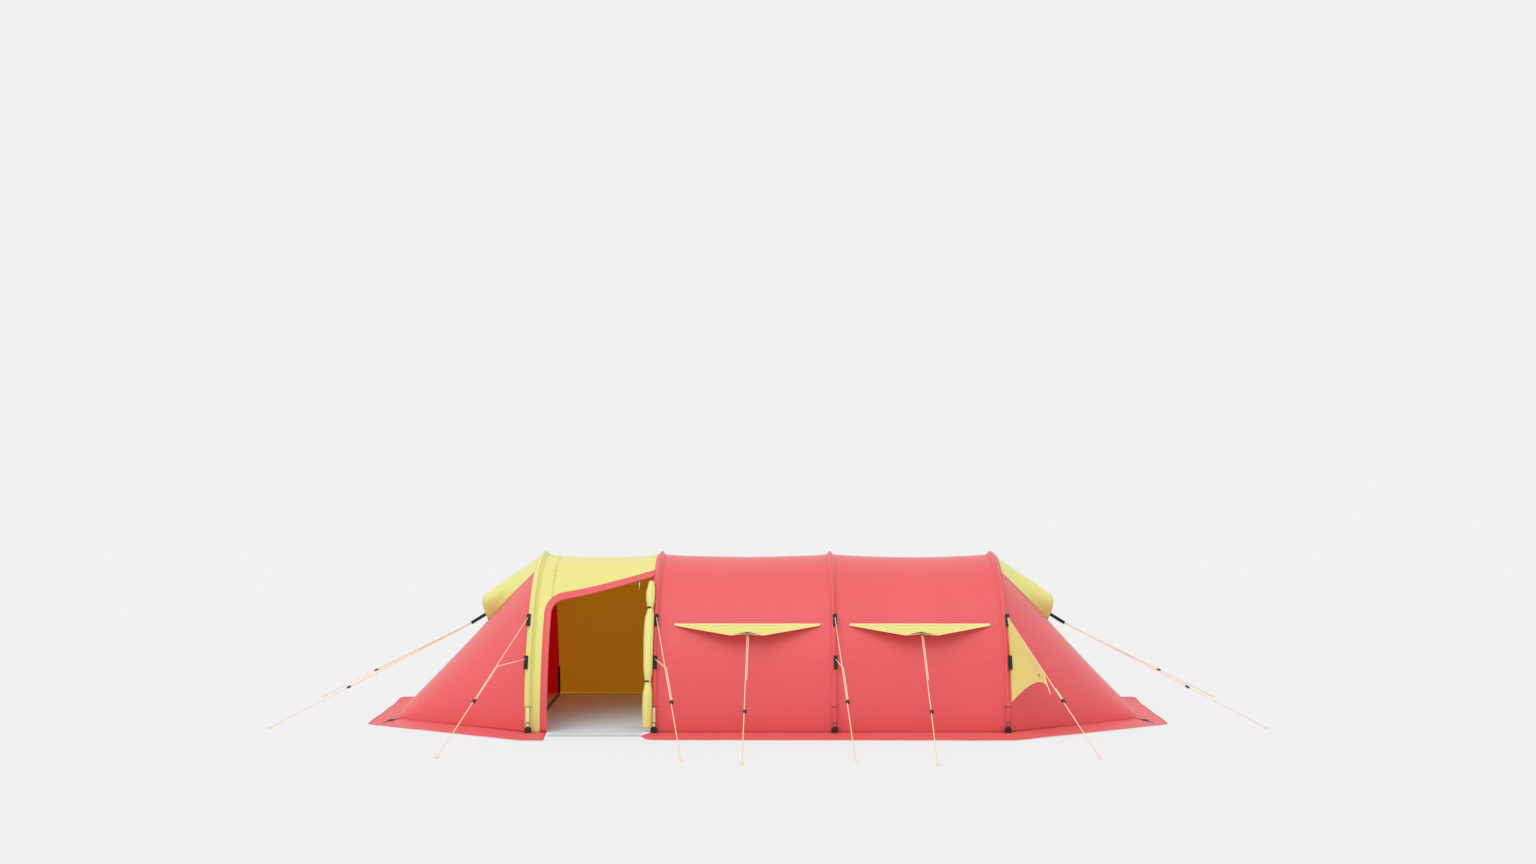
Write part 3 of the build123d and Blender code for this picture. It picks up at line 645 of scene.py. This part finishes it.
def guy_line(name, start, end, strand, node, leg_from=None):
    """One guy: its taut line with the loop at its foot, the return strand and the lower leg."""
    ring_edge = RING_R + RING_WIRE + 0.0005
    along = (end - start).normalized()
    begin = start + along * ring_edge
    line = cord_tube(f"guy_{name}", begin, end, node)
    level = Vector((along.x, along.y, 0)).normalized()
    ring = circle(end + level * PEG_LOOP_R, (1, 0, 0), (0, 1, 0), PEG_LOOP_R)
    loop = tube(f"loop_{name}", ring, CORD_R, "cord", 12)
    knot_path = [end - along * back for back in (0.028, 0.018, 0.006)]
    knot = tube(f"knot_{name}", knot_path, CORD_R * 2.0, "cord", 12)
    foot = finished(joined(f"guy_loop_{name}", [loop, knot]), [node])
    shift = Vector((-along.y, along.x, 0)).normalized() * STRAND_GAP
    top, bottom = (start.lerp(end, share) + shift for share in strand)
    back = cord_tube(f"strand_{name}", top, bottom, node)
    if leg_from is not None:
        joint = start.lerp(end, SPLIT)
        way = (joint - leg_from).normalized()
        first, last = leg_from + way * ring_edge, joint - way * LEG_GAP
        leg = cord_tube(f"leg_{name}", first, last, node)


def guys():
    for side, where in SIDES:
        for i, peg in enumerate(PEGS):
            winged = (i, side) == (3, -1)
            leg = None if winged else ring_centre(i, GUY_Z[1], side)
            strand = (WING_TAIL if winged else SPLIT, RUNNER_AT)
            guy_line(f"pole_{i + 1}_{where}", ring_centre(i, GUY_Z[0], side), foot_of(peg, side),
                     strand, "pole_guys", leg)
        for i, peg in enumerate(AWNING_PEGS):
            guy_line(f"awning_{i + 1}_{where}", awning_ring(i, side), foot_of(peg, side),
                     (0.02, SPLIT), "awning_guys")
        for end, place in ENDS:
            foot = foot_of((end * END_PEG[0], END_PEG[1]), side)
            guy_line(f"{place}_end_{where}", end_ring(end), foot, (0.03, RUNNER_AT), "end_guys")


# ---- flysheet ----
def pole_spaced(x0, x1, count):
    """Stations between two poles, closer together near each pole."""
    return [x0 + (x1 - x0) * (0.5 - 0.5 * cos(pi * k / count)) * 0.6
            + (x1 - x0) * k / count * 0.4 for k in range(count + 1)]


def fly_bay(name, x0, x1, node, outer, inner, slot):
    stations = pole_spaced(x0, x1, 64)
    angles = even_angles(220)
    rows = [[bay_point(x0, x1, x, t) for t in angles] for x in stations]
    uvs = [[(length_at(t), x) for t in angles] for x in stations]
    sheet = cloth_piece(name, rows, [outer, inner], uvs, [node], slot, flip=True)


def door_outline(grow=0.0, rise=0.0, steps=14):
    """The door's edge as (x, z), from its left foot to its right end."""
    left, right = DOOR_LEFT - grow, DOOR_RIGHT
    radius = DOOR_CORNER_R + grow
    corner = Vector((left, DOOR_SHOULDER_Z + rise))
    end = Vector((right, DOOR_TOP_Z + rise))
    down, along = Vector((0, -1)), (end - corner).normalized()
    half = down.angle(along) / 2
    centre = corner + (down + along).normalized() * radius / sin(half)
    reach = radius * cos(half) / sin(half)
    first, last = corner + down * reach, corner + along * reach
    points = [Vector((left, 0)).lerp(first, k / 24) for k in range(24)]
    a0, a1 = (atan2(p.y - centre.y, p.x - centre.x) for p in (first, last))
    a0 += 2 * pi if a0 < a1 else 0.0
    for k in range(steps):
        a = a0 + (a1 - a0) * k / steps
        points.append(centre + Vector((cos(a), sin(a))) * radius)
    return points + [last.lerp(end, k / 24) for k in range(25)]


def fly_vestibule():
    """The yellow bay, whose front wall stops at the door's edge."""
    x0, x1 = POLE_X[0], POLE_X[1]
    columns = [(x, 0.0) for x in pole_spaced(x0, 2 * DOOR_LEFT - x0, 12) if x < DOOR_LEFT - 0.002]
    columns += [(p.x, p.y) for p in door_outline()]
    columns += [(DOOR_RIGHT + 0.0005, 0.0), (-1.073, 0.0), (x1, 0.0)]
    rows, uvs = [], []
    for x, z in columns:
        angles = even_angles(220, angle_at(z))
        rows.append([bay_point(x0, x1, x, t) for t in angles])
        uvs.append([(length_at(t), x) for t in angles])
    sheet = cloth_piece("vestibule_cloth", rows, ["yellow", "yellow_inside"], uvs,
                        ["fly_vestibule"], "fly_yellow", flip=True)


def on_front(x, z, out=0.0):
    """A point on the front wall of the vestibule, at x and height z."""
    return bay_point(POLE_X[0], POLE_X[1], x, angle_at(z), out)


def door_trim():
    """The red band round the doorway, with a rolled edge and the zip's coil along it."""
    inner, outer = door_outline(), door_outline(TRIM_WIDTH, TRIM_RISE)
    profile = [(-0.03, -0.001), (-0.03, 0.002), (0.0, 0.0050), (0.10, 0.0058), (0.2, 0.0042),
               (0.22, 0.0034), (0.9, 0.0034), (0.93, 0.0042), (0.98, 0.0040), (1.0, 0.0010)]
    rows, uvs, run = [], [], 0.0
    for i, (p, q) in enumerate(zip(inner, outer)):
        run += (p - inner[i - 1]).length if i else 0.0
        rows.append([on_front(*p.lerp(q, share), out) for share, out in profile])
        uvs.append([(share * TRIM_WIDTH, run) for share, _ in profile])
    band = grid_sheet("door_band", rows, ["red"], uvs, flip=True)
    thicken(band, 0.0010, -1.0)
    edge = [on_front(p.x - 0.001, max(p.y, 0.012) + 0.001, -0.0035) for p in inner]
    coil = tube("zip_coil", edge, 0.0022, "tape_red", 8)
    finished(joined("door_trim_band", [band, coil]), ["door_trim"])


def fly_end(side, name, node):
    us = [(k / 56) ** 1.25 for k in range(57)]
    angles = even_angles(200)
    rows = [[end_point(side, u, t) for t in angles] for u in us]
    uvs = [[(length_at(t) * (1 - 0.7 * u), u * END_SLOPE) for t in angles] for u in us]
    foot = rows[-1]
    for step, (ahead, height) in enumerate(((0.012, 0.72), (0.022, 0.36), (0.028, 0.0))):
        rows.append([Vector((p.x + side * ahead * sin(t), p.y, p.z * height))
                     for p, t in zip(foot, angles)])
        uvs.append([(length_at(t) * 0.3, END_SLOPE + 0.02 * step) for t in angles])
    sheet = cloth_piece(name, rows, ["red", "red_inside"], uvs, [node], "fly_red", flip=side > 0)


def on_end(side, x, y):
    """The point of the sloping end's cloth at distance x along the tent, and at y."""
    u = (x - POLE_X[3]) / (END_X - POLE_X[3])
    for _ in range(12):
        a = FLY_A + u * (END_A - FLY_A)
        t = pi / 2 + asin(clamp(y / a, -0.99, 0.99))
        u = clamp(u + (x - abs(end_point(side, u, t).x)) / (END_X - POLE_X[3]))
    return end_point(side, u, t, 0.002)


def hood_point(side, s, w):
    """A point of the hood: s runs from the pole to its mouth, and w across it from -1 to 1."""
    edge_x = HOOD_ROOT + s * (HOOD_TIP - HOOD_ROOT)
    half = 0.015 + 0.345 * (1 - s) ** 0.7
    edge = on_end(side, edge_x, half)
    top_x = HOOD_X[0] + s * (HOOD_X[3] - HOOD_X[0])
    i = max(k for k in range(3) if HOOD_X[k] <= top_x)
    share = (top_x - HOOD_X[i]) / (HOOD_X[i + 1] - HOOD_X[i])
    top_z = HOOD_TOP_Z[i] + share * (HOOD_TOP_Z[i + 1] - HOOD_TOP_Z[i])
    v = abs(w)
    belly = sin(pi * v) ** 0.9
    bulge = 0.016 + 0.095 * smooth(s, 0.3, 1.0)
    y = (half * v + bulge * belly) * (1 if w > 0 else -1)
    x = edge_x * v + top_x * (1 - v) + 0.030 * smooth(s, 0.8, 1.0) * belly
    z = edge.z + (top_z - edge.z) * (1 - v ** 1.8)
    z += 0.0035 * noise.noise(Vector((s * 5, w * 3, side * 7.7))) * belly
    return Vector((side * x, y, z))


def hood(side, name):
    """A scoop over the end vent, with a stiffened rim and taped edges."""
    stations, steps = 34, 44
    rows = [[hood_point(side, k / stations, 2 * j / steps - 1) for j in range(steps + 1)]
            for k in range(stations + 1)]
    uvs = [[(0.36 * j / steps, 0.58 * k / stations) for j in range(steps + 1)]
           for k in range(stations + 1)]
    cloth = cloth_piece(name, rows, ["yellow", "yellow_inside"], uvs, ["vent_hoods"],
                        "fly_yellow", 0.0014, flip=side > 0)
    rim = tube(name + "_rim", [p + Vector((side * 0.002, 0, 0)) for p in rows[-1]], 0.0042,
               "tape_yellow", 10)
    finished(rim)
    seams = []
    for end in (0, -1):
        path = [row[end] + Vector((0, 0, 0.0015)) for row in rows]
        ups = [Vector((side * 0.55, (row[end].y - row[len(row) // 2].y) * 1.2, 0.8))
               for row in rows]
        seams.append(ribbon(f"{name}_seam", path, ups, 0.024, 0.0012, "tape_yellow"))
    taped = finished(joined(name + "_seams", seams))


def vent_mesh(side, name):
    """The mesh window in the end cloth, under the hood."""
    rows, uvs = [], []
    u_low, u_high = ((z - FLY_B) / (END_B - FLY_B) for z in VENT_Z[::-1])
    for k in range(17):
        u = u_low + (u_high - u_low) * k / 16
        a = FLY_A + u * (END_A - FLY_A)
        ts = [pi / 2 + (2 * j / 16 - 1) * VENT_HALF_WIDTH / a for j in range(17)]
        rows.append([end_point(side, u, t, 0.0015) for t in ts])
        uvs.append([(j / 16 * 0.22, u * END_SLOPE) for j in range(17)])
    cloth_piece(name, rows, ["mesh"], uvs, ["vent_mesh"], "mesh", 0.0008, flip=side > 0)


def flap_edges():
    """Inner and outer edge of the skirt, as matching points, from the door round to the door."""
    cx, cy = FLAP_CORNER
    near, far = FLAP_DOOR_Y
    left, low, right = FLAP_DOOR
    corners_in = [(DOOR_RIGHT, -FLY_A), (DOOR_RIGHT + 0.006, -FLY_A), (POLE_X[3], -FLY_A),
                  (END_X, -END_A), (END_X, END_A), (POLE_X[3], FLY_A), (POLE_X[0], FLY_A),
                  (-END_X, END_A), (-END_X, -END_A), (POLE_X[0], -FLY_A), (DOOR_LEFT, -FLY_A)]
    corners_out = [(low, near), (right, far), (FLAP_KNEE_X, -FLAP_Y), (cx, -cy), (cx, cy),
                   (FLAP_KNEE_X, FLAP_Y), (-FLAP_KNEE_X, FLAP_Y), (-cx, cy), (-cx, -cy),
                   (-FLAP_KNEE_X, -FLAP_Y), (left, -FLAP_Y)]
    inner, outer = [], []
    for k in range(len(corners_in) - 1):
        a0, a1 = Vector(corners_in[k]), Vector(corners_in[k + 1])
        b0, b1 = Vector(corners_out[k]), Vector(corners_out[k + 1])
        steps = max(8, int((b1 - b0).length / 0.03))
        for i in range(steps + (k == len(corners_in) - 2)):
            inner.append(a0.lerp(a1, i / steps))
            outer.append(b0.lerp(b1, i / steps))
    return inner, rounded(outer)


def rounded(points, passes=3):
    """The same line with its corners eased."""
    for _ in range(passes):
        eased = [points[0]]
        for before, here, after in zip(points, points[1:], points[2:]):
            eased.append(here * 0.5 + (before + after) * 0.25)
        points = eased + [points[-1]]
    return points


def snow_flap():
    """The skirt on the ground: it ripples, its far corners lift, and it has a rolled hem."""
    inner, outer = flap_edges()
    rows, uvs, run = [], [], 0.0
    across_steps = 12
    for i, (p, q) in enumerate(zip(inner, outer)):
        run += (q - outer[i - 1]).length if i else 0.0
        row, uv_row = [], []
        for j in range(across_steps + 1):
            v = j / across_steps
            place = p.lerp(q, v)
            ripple = 0.5 + 0.5 * noise.noise(Vector((place.x * 4.0, place.y * 4.0, 2.0)))
            fine = noise.noise(Vector((place.x * 14, place.y * 14, 5.0)))
            to_corner = (Vector((abs(place.x), place.y)) - Vector(FLAP_CORNER)).length
            lift = 0.022 * (1 - smooth(to_corner, 0.0, 0.30))
            z = 0.0035 + v * (0.007 * ripple + 0.0015 * fine + lift)
            row.append(Vector((place.x, place.y, z)))
            uv_row.append((v * FLAP_WIDTH, run))
        rows.append(row)
        uvs.append(uv_row)
    sheet = cloth_piece("skirt", rows, ["flap"], uvs, ["snow_flap"], "fly_red", 0.0015)
    hem = tube("skirt_hem", [row[-1] + Vector((0, 0, 0.0005)) for row in rows], 0.0026,
               "tape_red", 8)
    finished(hem)


SLEEVE_PROFILE = ((0.040, 0.0010), (0.031, 0.0016), (0.026, 0.0050), (0.0205, 0.0130),
                  (0.0165, 0.0215), (0.0115, 0.0290), (0.0060, 0.0330), (0.0, 0.0342))


def sleeves():
    """Pole sleeves: cloth sewn down along both sides of each pole, with puckered flanks."""
    profile = [(-w, h) for w, h in SLEEVE_PROFILE] + [(w, h) for w, h in SLEEVE_PROFILE[-2::-1]]
    for i, x in enumerate(POLE_X):
        colour = "red" if i else "yellow"
        first = angle_at(SLEEVE_END_Z)
        rows, uvs = [], []
        for t in even_angles(300, first, pi - first):
            base, out, run = arch_point(x, t), outward(t), length_at(t)
            row, uv_row = [], []
            for w, h in profile:
                flank = 1 - abs(h / 0.017 - 1)
                pucker = 0.0016 * flank * noise.noise(Vector((run * 24, w * 40, i * 9.0)))
                row.append(base + Vector((w + pucker, 0, 0)) + out * h)
                uv_row.append((w * 1.4, run))
            rows.append(row)
            uvs.append(uv_row)
        skin = grid_sheet(f"sleeve_{i + 1}_skin", rows, [colour], uvs)
        thicken(skin, 0.0010)
        low = even_angles(40, angle_at(0.02), first)
        strips = []
        for angles in (low, [pi - t for t in low]):
            path = [arch_point(x, t) + outward(t) * 0.0006 for t in angles]
            strips.append(ribbon(f"sleeve_{i + 1}_tape", path, [outward(t) for t in angles],
                                 0.062, 0.0010, colour, 0.0004))
        whole = joined(f"sleeve_{i + 1}", [skin, *strips])
        finished(whole, ["pole_sleeves"])


# ---- webbing at the feet, door roll, wing and awnings ----
FOOT_STRAP = ((1.1715, 0.238), (1.1735, 0.200), (1.1765, 0.160), (1.1795, 0.122),
              (1.1815, 0.104), (1.1862, 0.092), (1.1872, 0.072), (1.1835, 0.058))


def foot_straps():
    """Webbing from each sleeve end down through its ladder buckle."""
    for i, x in enumerate(POLE_X):
        for side, where in SIDES:
            path = [Vector((x, side * y, z)) for y, z in FOOT_STRAP]
            ups = [Vector((0, side, 0.05))] * len(path)
            strap = ribbon(f"foot_strap_{i + 1}_{where}", path, ups, 0.027, 0.0018,
                           "tape_yellow" if i < 2 else "tape_red")
            finished(strap, ["foot_straps"])


def door_roll():
    """The rolled door: it bulges between its ties, and a lap runs along it."""
    a, b = FLY_A + ROLL_OUT, FLY_B + ROLL_OUT
    first, last = angle_at(ROLL_Z[0], a, b), angle_at(ROLL_Z[1] + 0.014, a, b)
    waists = [angle_at(z, a, b) for z in TIE_Z]
    rows, uvs = [], []
    sides, run, before = 40, 0.0, None
    for t in even_angles(150, first, last, a, b):
        centre = arch_point(ROLL_X + 0.004, t, a, b)
        out = outward(t, a, b)
        run += (centre - before).length if before else 0.0
        before = centre
        pinch = max(exp(-((t - w) / 0.050) ** 2) for w in waists)
        taper = 1 - 0.45 * smooth(t, last - 0.11, last) - 0.10 * (1 - smooth(t, first, first + 0.1))
        full = (ROLL_FULL + 0.002 * sin(run * 9)) * taper
        r = full * (1 - pinch) + ROLL_WAIST * pinch
        ring, uv_ring = [], []
        for k in range(sides + 1):
            turn = 2 * pi * k / sides
            fold = 0.0030 * noise.noise(Vector((cos(turn) * 2.2, sin(turn) * 2.2, run * 3.0)))
            fold += 0.0022 * pinch * sin(turn * 7 + 1.0)
            lap = 0.0035 * (1 - k / sides)
            radius = r + fold + lap
            across = min(cos(turn) * radius, ROLL_FLAT)
            ring.append(centre + Vector((across, 0, 0)) + out * sin(turn) * radius)
            uv_ring.append((radius * turn, run))
        rows.append(ring)
        uvs.append(uv_ring)
    skin = grid_sheet("door_roll_skin", rows, ["yellow"], uvs, flip=True)
    thicken(skin, 0.0014)
    plugs = []
    for row, inward in ((rows[0], 0.004), (rows[-1], -0.004)):
        middle = sum(row, Vector()) / len(row)
        first_two = rows[:2] if inward > 0 else rows[-2:]
        along = (first_two[1][0] - first_two[0][0]).normalized()
        disc = [[middle + along * inward] * len(row)]
        disc += [[middle.lerp(p, f) + along * inward * (1.5 - f) for p in row]
                 for f in (0.3, 0.6, 0.97)]
        end_uvs = [[(0.01 * j, 0.01 * k) for j in range(len(row))] for k in range(4)]
        plugs.append(thicken(grid_sheet("door_roll_end", disc, ["yellow"], end_uvs), CLOTH_T))
    roll = joined("door_roll_cloth", [skin, *plugs])
    finished(roll, ["door_roll"])


def guy_wing():
    """The yellow wing between the last pole and its front guy, with a bound, hollow hem."""
    start, end = ring_centre(3, GUY_Z[0], -1), foot_of(PEGS[3], -1)
    x = POLE_X[3] + TAB_SHIFT[3]
    top = tab_origin(x, GUY_Z[0] - 0.012, -1) + lean_out(GUY_Z[0], -1) * 0.006
    foot = tab_origin(x, WING_FOOT_Z, -1) + lean_out(WING_FOOT_Z, -1) * 0.006
    corner = start.lerp(end, WING_EDGE) + WING_INSET
    tail = start.lerp(end, WING_TAIL) + TAIL_DROP
    crown = (tail + foot) / 2 + WING_CROWN
    knee = WING_EDGE / WING_TAIL
    rows, uvs = [], []
    steps = 48
    control = crown * 2 - (foot + tail) / 2
    for j in range(steps + 1):
        v = j / steps
        row, uv_row = [], []
        for k in range(steps + 1):
            u = k / steps
            rim = (top.lerp(corner, u / knee) if u < knee
                   else corner.lerp(tail, (u - knee) / (1 - knee)))
            hem = foot * (1 - u) ** 2 + control * 2 * u * (1 - u) + tail * u * u
            billow = 0.012 * sin(pi * v) * sin(pi * u)
            row.append(rim.lerp(hem, v) + Vector((0.3, -0.8, 0.2)) * billow)
            uv_row.append((u * 0.8, v * 0.75))
        rows.append(row)
        uvs.append(uv_row)
    cloth = cloth_piece("wing", rows, ["yellow"], uvs, ["guy_wing"], "fly_yellow", 0.0014, 0.0)
    hem = tube("wing_hem", rows[-1], 0.0035, "tape_yellow", 8)
    edge = tube("wing_edge", rows[0], 0.0030, "tape_yellow", 8)
    binding = finished(joined("wing_binding", [hem, edge]))
    eyelet_at = rows[int(steps * 0.72)][int(steps * 0.62)]
    ring = circle(eyelet_at, (1, 0, 0), (0, 0.2, 1), 0.011)
    eyelet = finished(tube("wing_eyelet", ring, 0.0028, "ring", 8))


def side_awnings():
    """The stiffened awnings, each with a sewn top seam and a bound, notched front edge."""
    for side, where in SIDES:
        out, up = awning_axes(side)
        for index, (x0, x1) in enumerate(AWNING_SPANS):
            seam = awning_seam(index, side)
            half = (x1 - x0) / 2
            rows, uvs = [], []
            steps, deep = 72, 12
            for k in range(steps + 1):
                w = (2 * k / steps - 1) * half
                reach = AWNING_NOTCH + (AWNING_REACH - AWNING_NOTCH) * abs(w) / AWNING_TIP_HALF
                if abs(w) > AWNING_TIP_HALF:
                    reach = AWNING_REACH * (half - abs(w)) / (half - AWNING_TIP_HALF)
                row, uv_row = [], []
                for j in range(deep + 1):
                    v = j / deep
                    sag = -0.006 * sin(pi * v) * cos(w / half * pi / 2)
                    sag += 0.0015 * noise.noise(Vector((w * 6, v * 2, index + side)))
                    row.append(seam + Vector((w, 0, 0)) + out * reach * v + up * (0.003 + sag))
                    uv_row.append((w, reach * v))
                rows.append(row)
                uvs.append(uv_row)
            name = f"awning_{index + 1}_{where}"
            cloth = cloth_piece(name, rows, ["yellow"], uvs, ["side_awnings"], "fly_yellow",
                                0.0016, 0.0, flip=side > 0)
            hem = tube(f"{name}_edge", [row[-1] for row in rows], 0.0026, "tape_yellow", 8)
            top_path = [row[0] + Vector((0, 0, 0.006)) - out * 0.004 for row in rows]
            top = ribbon(f"{name}_seam", top_path, [Vector((0, side, 0.25))] * len(rows), 0.018,
                         0.0012, "tape_yellow")
            trimmed = finished(joined(f"{name}_trim", [hem, top]))


# ---- porch floor and sleeping cabin ----
def laid_sheet(name, corners, z, node, seed):
    """A sheet on the ground, from a polygon cut into strips across the tent."""
    xs = sorted({c[0] for c in corners})
    stations = []
    for x0, x1 in zip(xs, xs[1:]):
        steps = max(2, int((x1 - x0) / 0.04))
        stations += [x0 + (x1 - x0) * k / steps for k in range(steps)]
    stations.append(xs[-1])
    stations[0] += 0.0005
    stations[-1] -= 0.0005
    edges = list(zip(corners, corners[1:] + corners[:1]))
    rows, uvs = [], []
    for x in stations:
        hits = [y0 + (y1 - y0) * (x - x0) / (x1 - x0) for (x0, y0), (x1, y1) in edges
                if (x0 - x) * (x1 - x) <= 0 and x0 != x1]
        low, high = min(hits), max(hits)
        ys = [low + (high - low) * k / 60 for k in range(61)]
        rows.append([Vector((x, y, z + 0.0012 * (1 + noise.noise(Vector((x * 5, y * 5, seed))))))
                     for y in ys])
        uvs.append([(x, y) for y in ys])
    sheet = cloth_piece(name, rows, ["floor"], uvs, [node], "floor_cloth", 0.0010, flip=True)


def floors():
    side, left, right = FLY_A - 0.014, DOOR_LEFT + 0.030, FLAP_DOOR[1] - 0.006
    foot, end = -END_X + 0.060, INNER_X[0] - 0.010
    porch = [(foot, -END_A + 0.014), (POLE_X[0], -side), (left, -side), (left + 0.001, -SILL_Y),
             (right - 0.001, -SILL_Y), (right, -side), (end, -side), (end, side),
             (POLE_X[0], side), (foot, END_A - 0.014)]
    laid_sheet("porch_floor", porch, 0.0012, "groundsheet", 3.3)
    y = FLY_A - INNER_GAP - 0.014
    x0, x1 = INNER_X[0] + 0.010, INNER_X[1] - 0.010
    cabin = [(x0, -y), (x1, -y), (x1 + 0.0001, y), (x0 - 0.0001, y)]
    laid_sheet("cabin_floor", cabin, 0.0065, "inner_floor", 8.8)


CABIN_A, CABIN_B = FLY_A - INNER_GAP, FLY_B - INNER_GAP
CABIN_FOOT_Z, CABIN_EASE = 0.022, 0.006


def cabin_roof():
    """The sleeping cabin's half tube, which sags between the places where it hangs."""
    a, b = CABIN_A, CABIN_B
    x0, x1 = INNER_X
    low = angle_at(CABIN_FOOT_Z, a, b)
    hangs = (x0 + 0.04, POLE_X[2], x1 - 0.04)
    rows, uvs = [], []
    angles = even_angles(150, low, pi - low, a, b)
    for x in pole_spaced(x0, x1, 60):
        slack = min(abs(x - h) for h in hangs)
        drop = 0.030 * smooth(slack, 0.0, 0.8)
        row = []
        for t in angles:
            wrinkle = 0.004 * noise.noise(Vector((x * 3, t * 3.5, 12.0)))
            inward = 0.003 + drop * 0.3 - wrinkle
            row.append(arch_point(x, t, a, b - drop) - outward(t) * inward)
        rows.append(row)
        uvs.append([(length_at(t), x) for t in angles])
    roof = cloth_piece("cabin_roof", rows, ["inner"], uvs, ["inner_canopy"], "inner_cloth",
                       flip=True)


def wall_rim(t):
    """Where a ray at angle t from the middle of an end wall meets the cabin's roof or floor."""
    a, b, middle = CABIN_A - CABIN_EASE, CABIN_B - CABIN_EASE, CABIN_DOOR[2]
    way = Vector((cos(t) * 1.02, sin(t) * 0.90))
    grow = min(a / max(abs(way.x), 1e-6), 2.0)
    for _ in range(30):
        y, z = way.x * grow, middle + way.y * grow
        inside = CABIN_FOOT_Z < z < b and abs(y) < arch_y(z, a, b)
        grow *= 1.0 if inside else 0.96
    return Vector((way.x * grow, max(middle + way.y * grow, CABIN_FOOT_Z)))


def cabin_wall(name, x, door):
    """An end wall of the cabin, with or without its bound oval doorway."""
    half_w, half_h, middle = CABIN_DOOR
    hole_w, hole_h = (half_w, half_h) if door else (0.002, 0.002)
    rows, uvs = [], []
    rings, around = 22, 120
    turns = [2 * pi * j / around for j in range(around)]
    for k in range(rings + 1):
        f = k / rings
        row = []
        for t in turns:
            hole = Vector((hole_w * cos(t), middle + hole_h * sin(t)))
            p = hole.lerp(wall_rim(t), f)
            ripple = 0.006 * noise.noise(Vector((p.x * 3, p.y * 3, x))) * (1 - f) ** 0.5
            row.append(Vector((x + ripple, p.x, p.y)))
        rows.append(row)
        uvs.append([(p.y, p.z) for p in row])
    wall = cloth_piece(name, rows, ["inner"], uvs, ["inner_walls"], "inner_cloth", CLOTH_T, 0.0,
                       close=True)
    if door:
        bound = tube("cabin_door_binding", rows[0] + rows[0][:1], 0.004, "binding", 8, False)
        finished(bound)


def cabin_door_roll():
    """The cabin's door, rolled up and tied twice beside its doorway."""
    half_w, _, middle = CABIN_DOOR
    x, y, length = INNER_X[0] + 0.040, half_w + 0.060, 0.89
    path = [Vector((x, y, middle - 0.040 + length * (k / 60 - 0.5))) for k in range(61)]

    def radius(share):
        tied = sum(exp(-((share - at) / 0.02) ** 2) for at in (0.3, 0.72))
        return 0.024 + 0.0015 * sin(share * 40) - 0.006 * tied

    roll = finished(tube("cabin_door_roll", path, radius, "inner", 24), ["inner_door_roll"])


# ---- CAD nodes that stay as they are ----
KEPT = {
    "pole": ["pole_1", "pole_2", "pole_3", "pole_4", "pole_ferrules"],
    "ring": ["guy_rings", "zip_slider"],
    "plastic": ["pole_cups", "ladder_buckles", "hood_toggles", "hanger_toggles", "toggle_upper",
                "toggle_lower"],
    "webbing": ["sleeve_bindings", "corner_straps", "guy_tabs", "awning_patches", "end_straps",
                "base_straps"],
    "elastic": ["door_ties", "shock_cords"],
    "tape_yellow": ["zip_pull"],
}


def kept_nodes():
    """Gives every CAD node that stays its finished material."""
    groups = dict(KEPT)
    groups["plastic"] = groups["plastic"] + [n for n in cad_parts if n.startswith("runner_")]
    for material, names in groups.items():
        for name in names:
            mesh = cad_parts[name].data
            mesh.materials.clear()
            mesh.materials.append(M[material])


stage()
guys()
fly_bay("middle_bay_cloth", POLE_X[1], POLE_X[2], "fly_middle_bay", "red", "red_inside", "fly_red")
fly_bay("cabin_bay_cloth", POLE_X[2], POLE_X[3], "fly_cabin_bay", "red", "red_inside", "fly_red")
fly_vestibule()
door_trim()
for side, place in ENDS:
    fly_end(side, f"{place}_end_cloth", f"fly_{place}_end")
    hood(side, f"{place}_hood")
    vent_mesh(side, f"{place}_vent")
snow_flap()
sleeves()
foot_straps()
door_roll()
guy_wing()
side_awnings()
floors()
cabin_roof()
cabin_wall("cabin_porch_wall", INNER_X[0] + 0.002, True)
cabin_wall("cabin_end_wall", INNER_X[1] - 0.004, False)
cabin_door_roll()
kept_nodes()
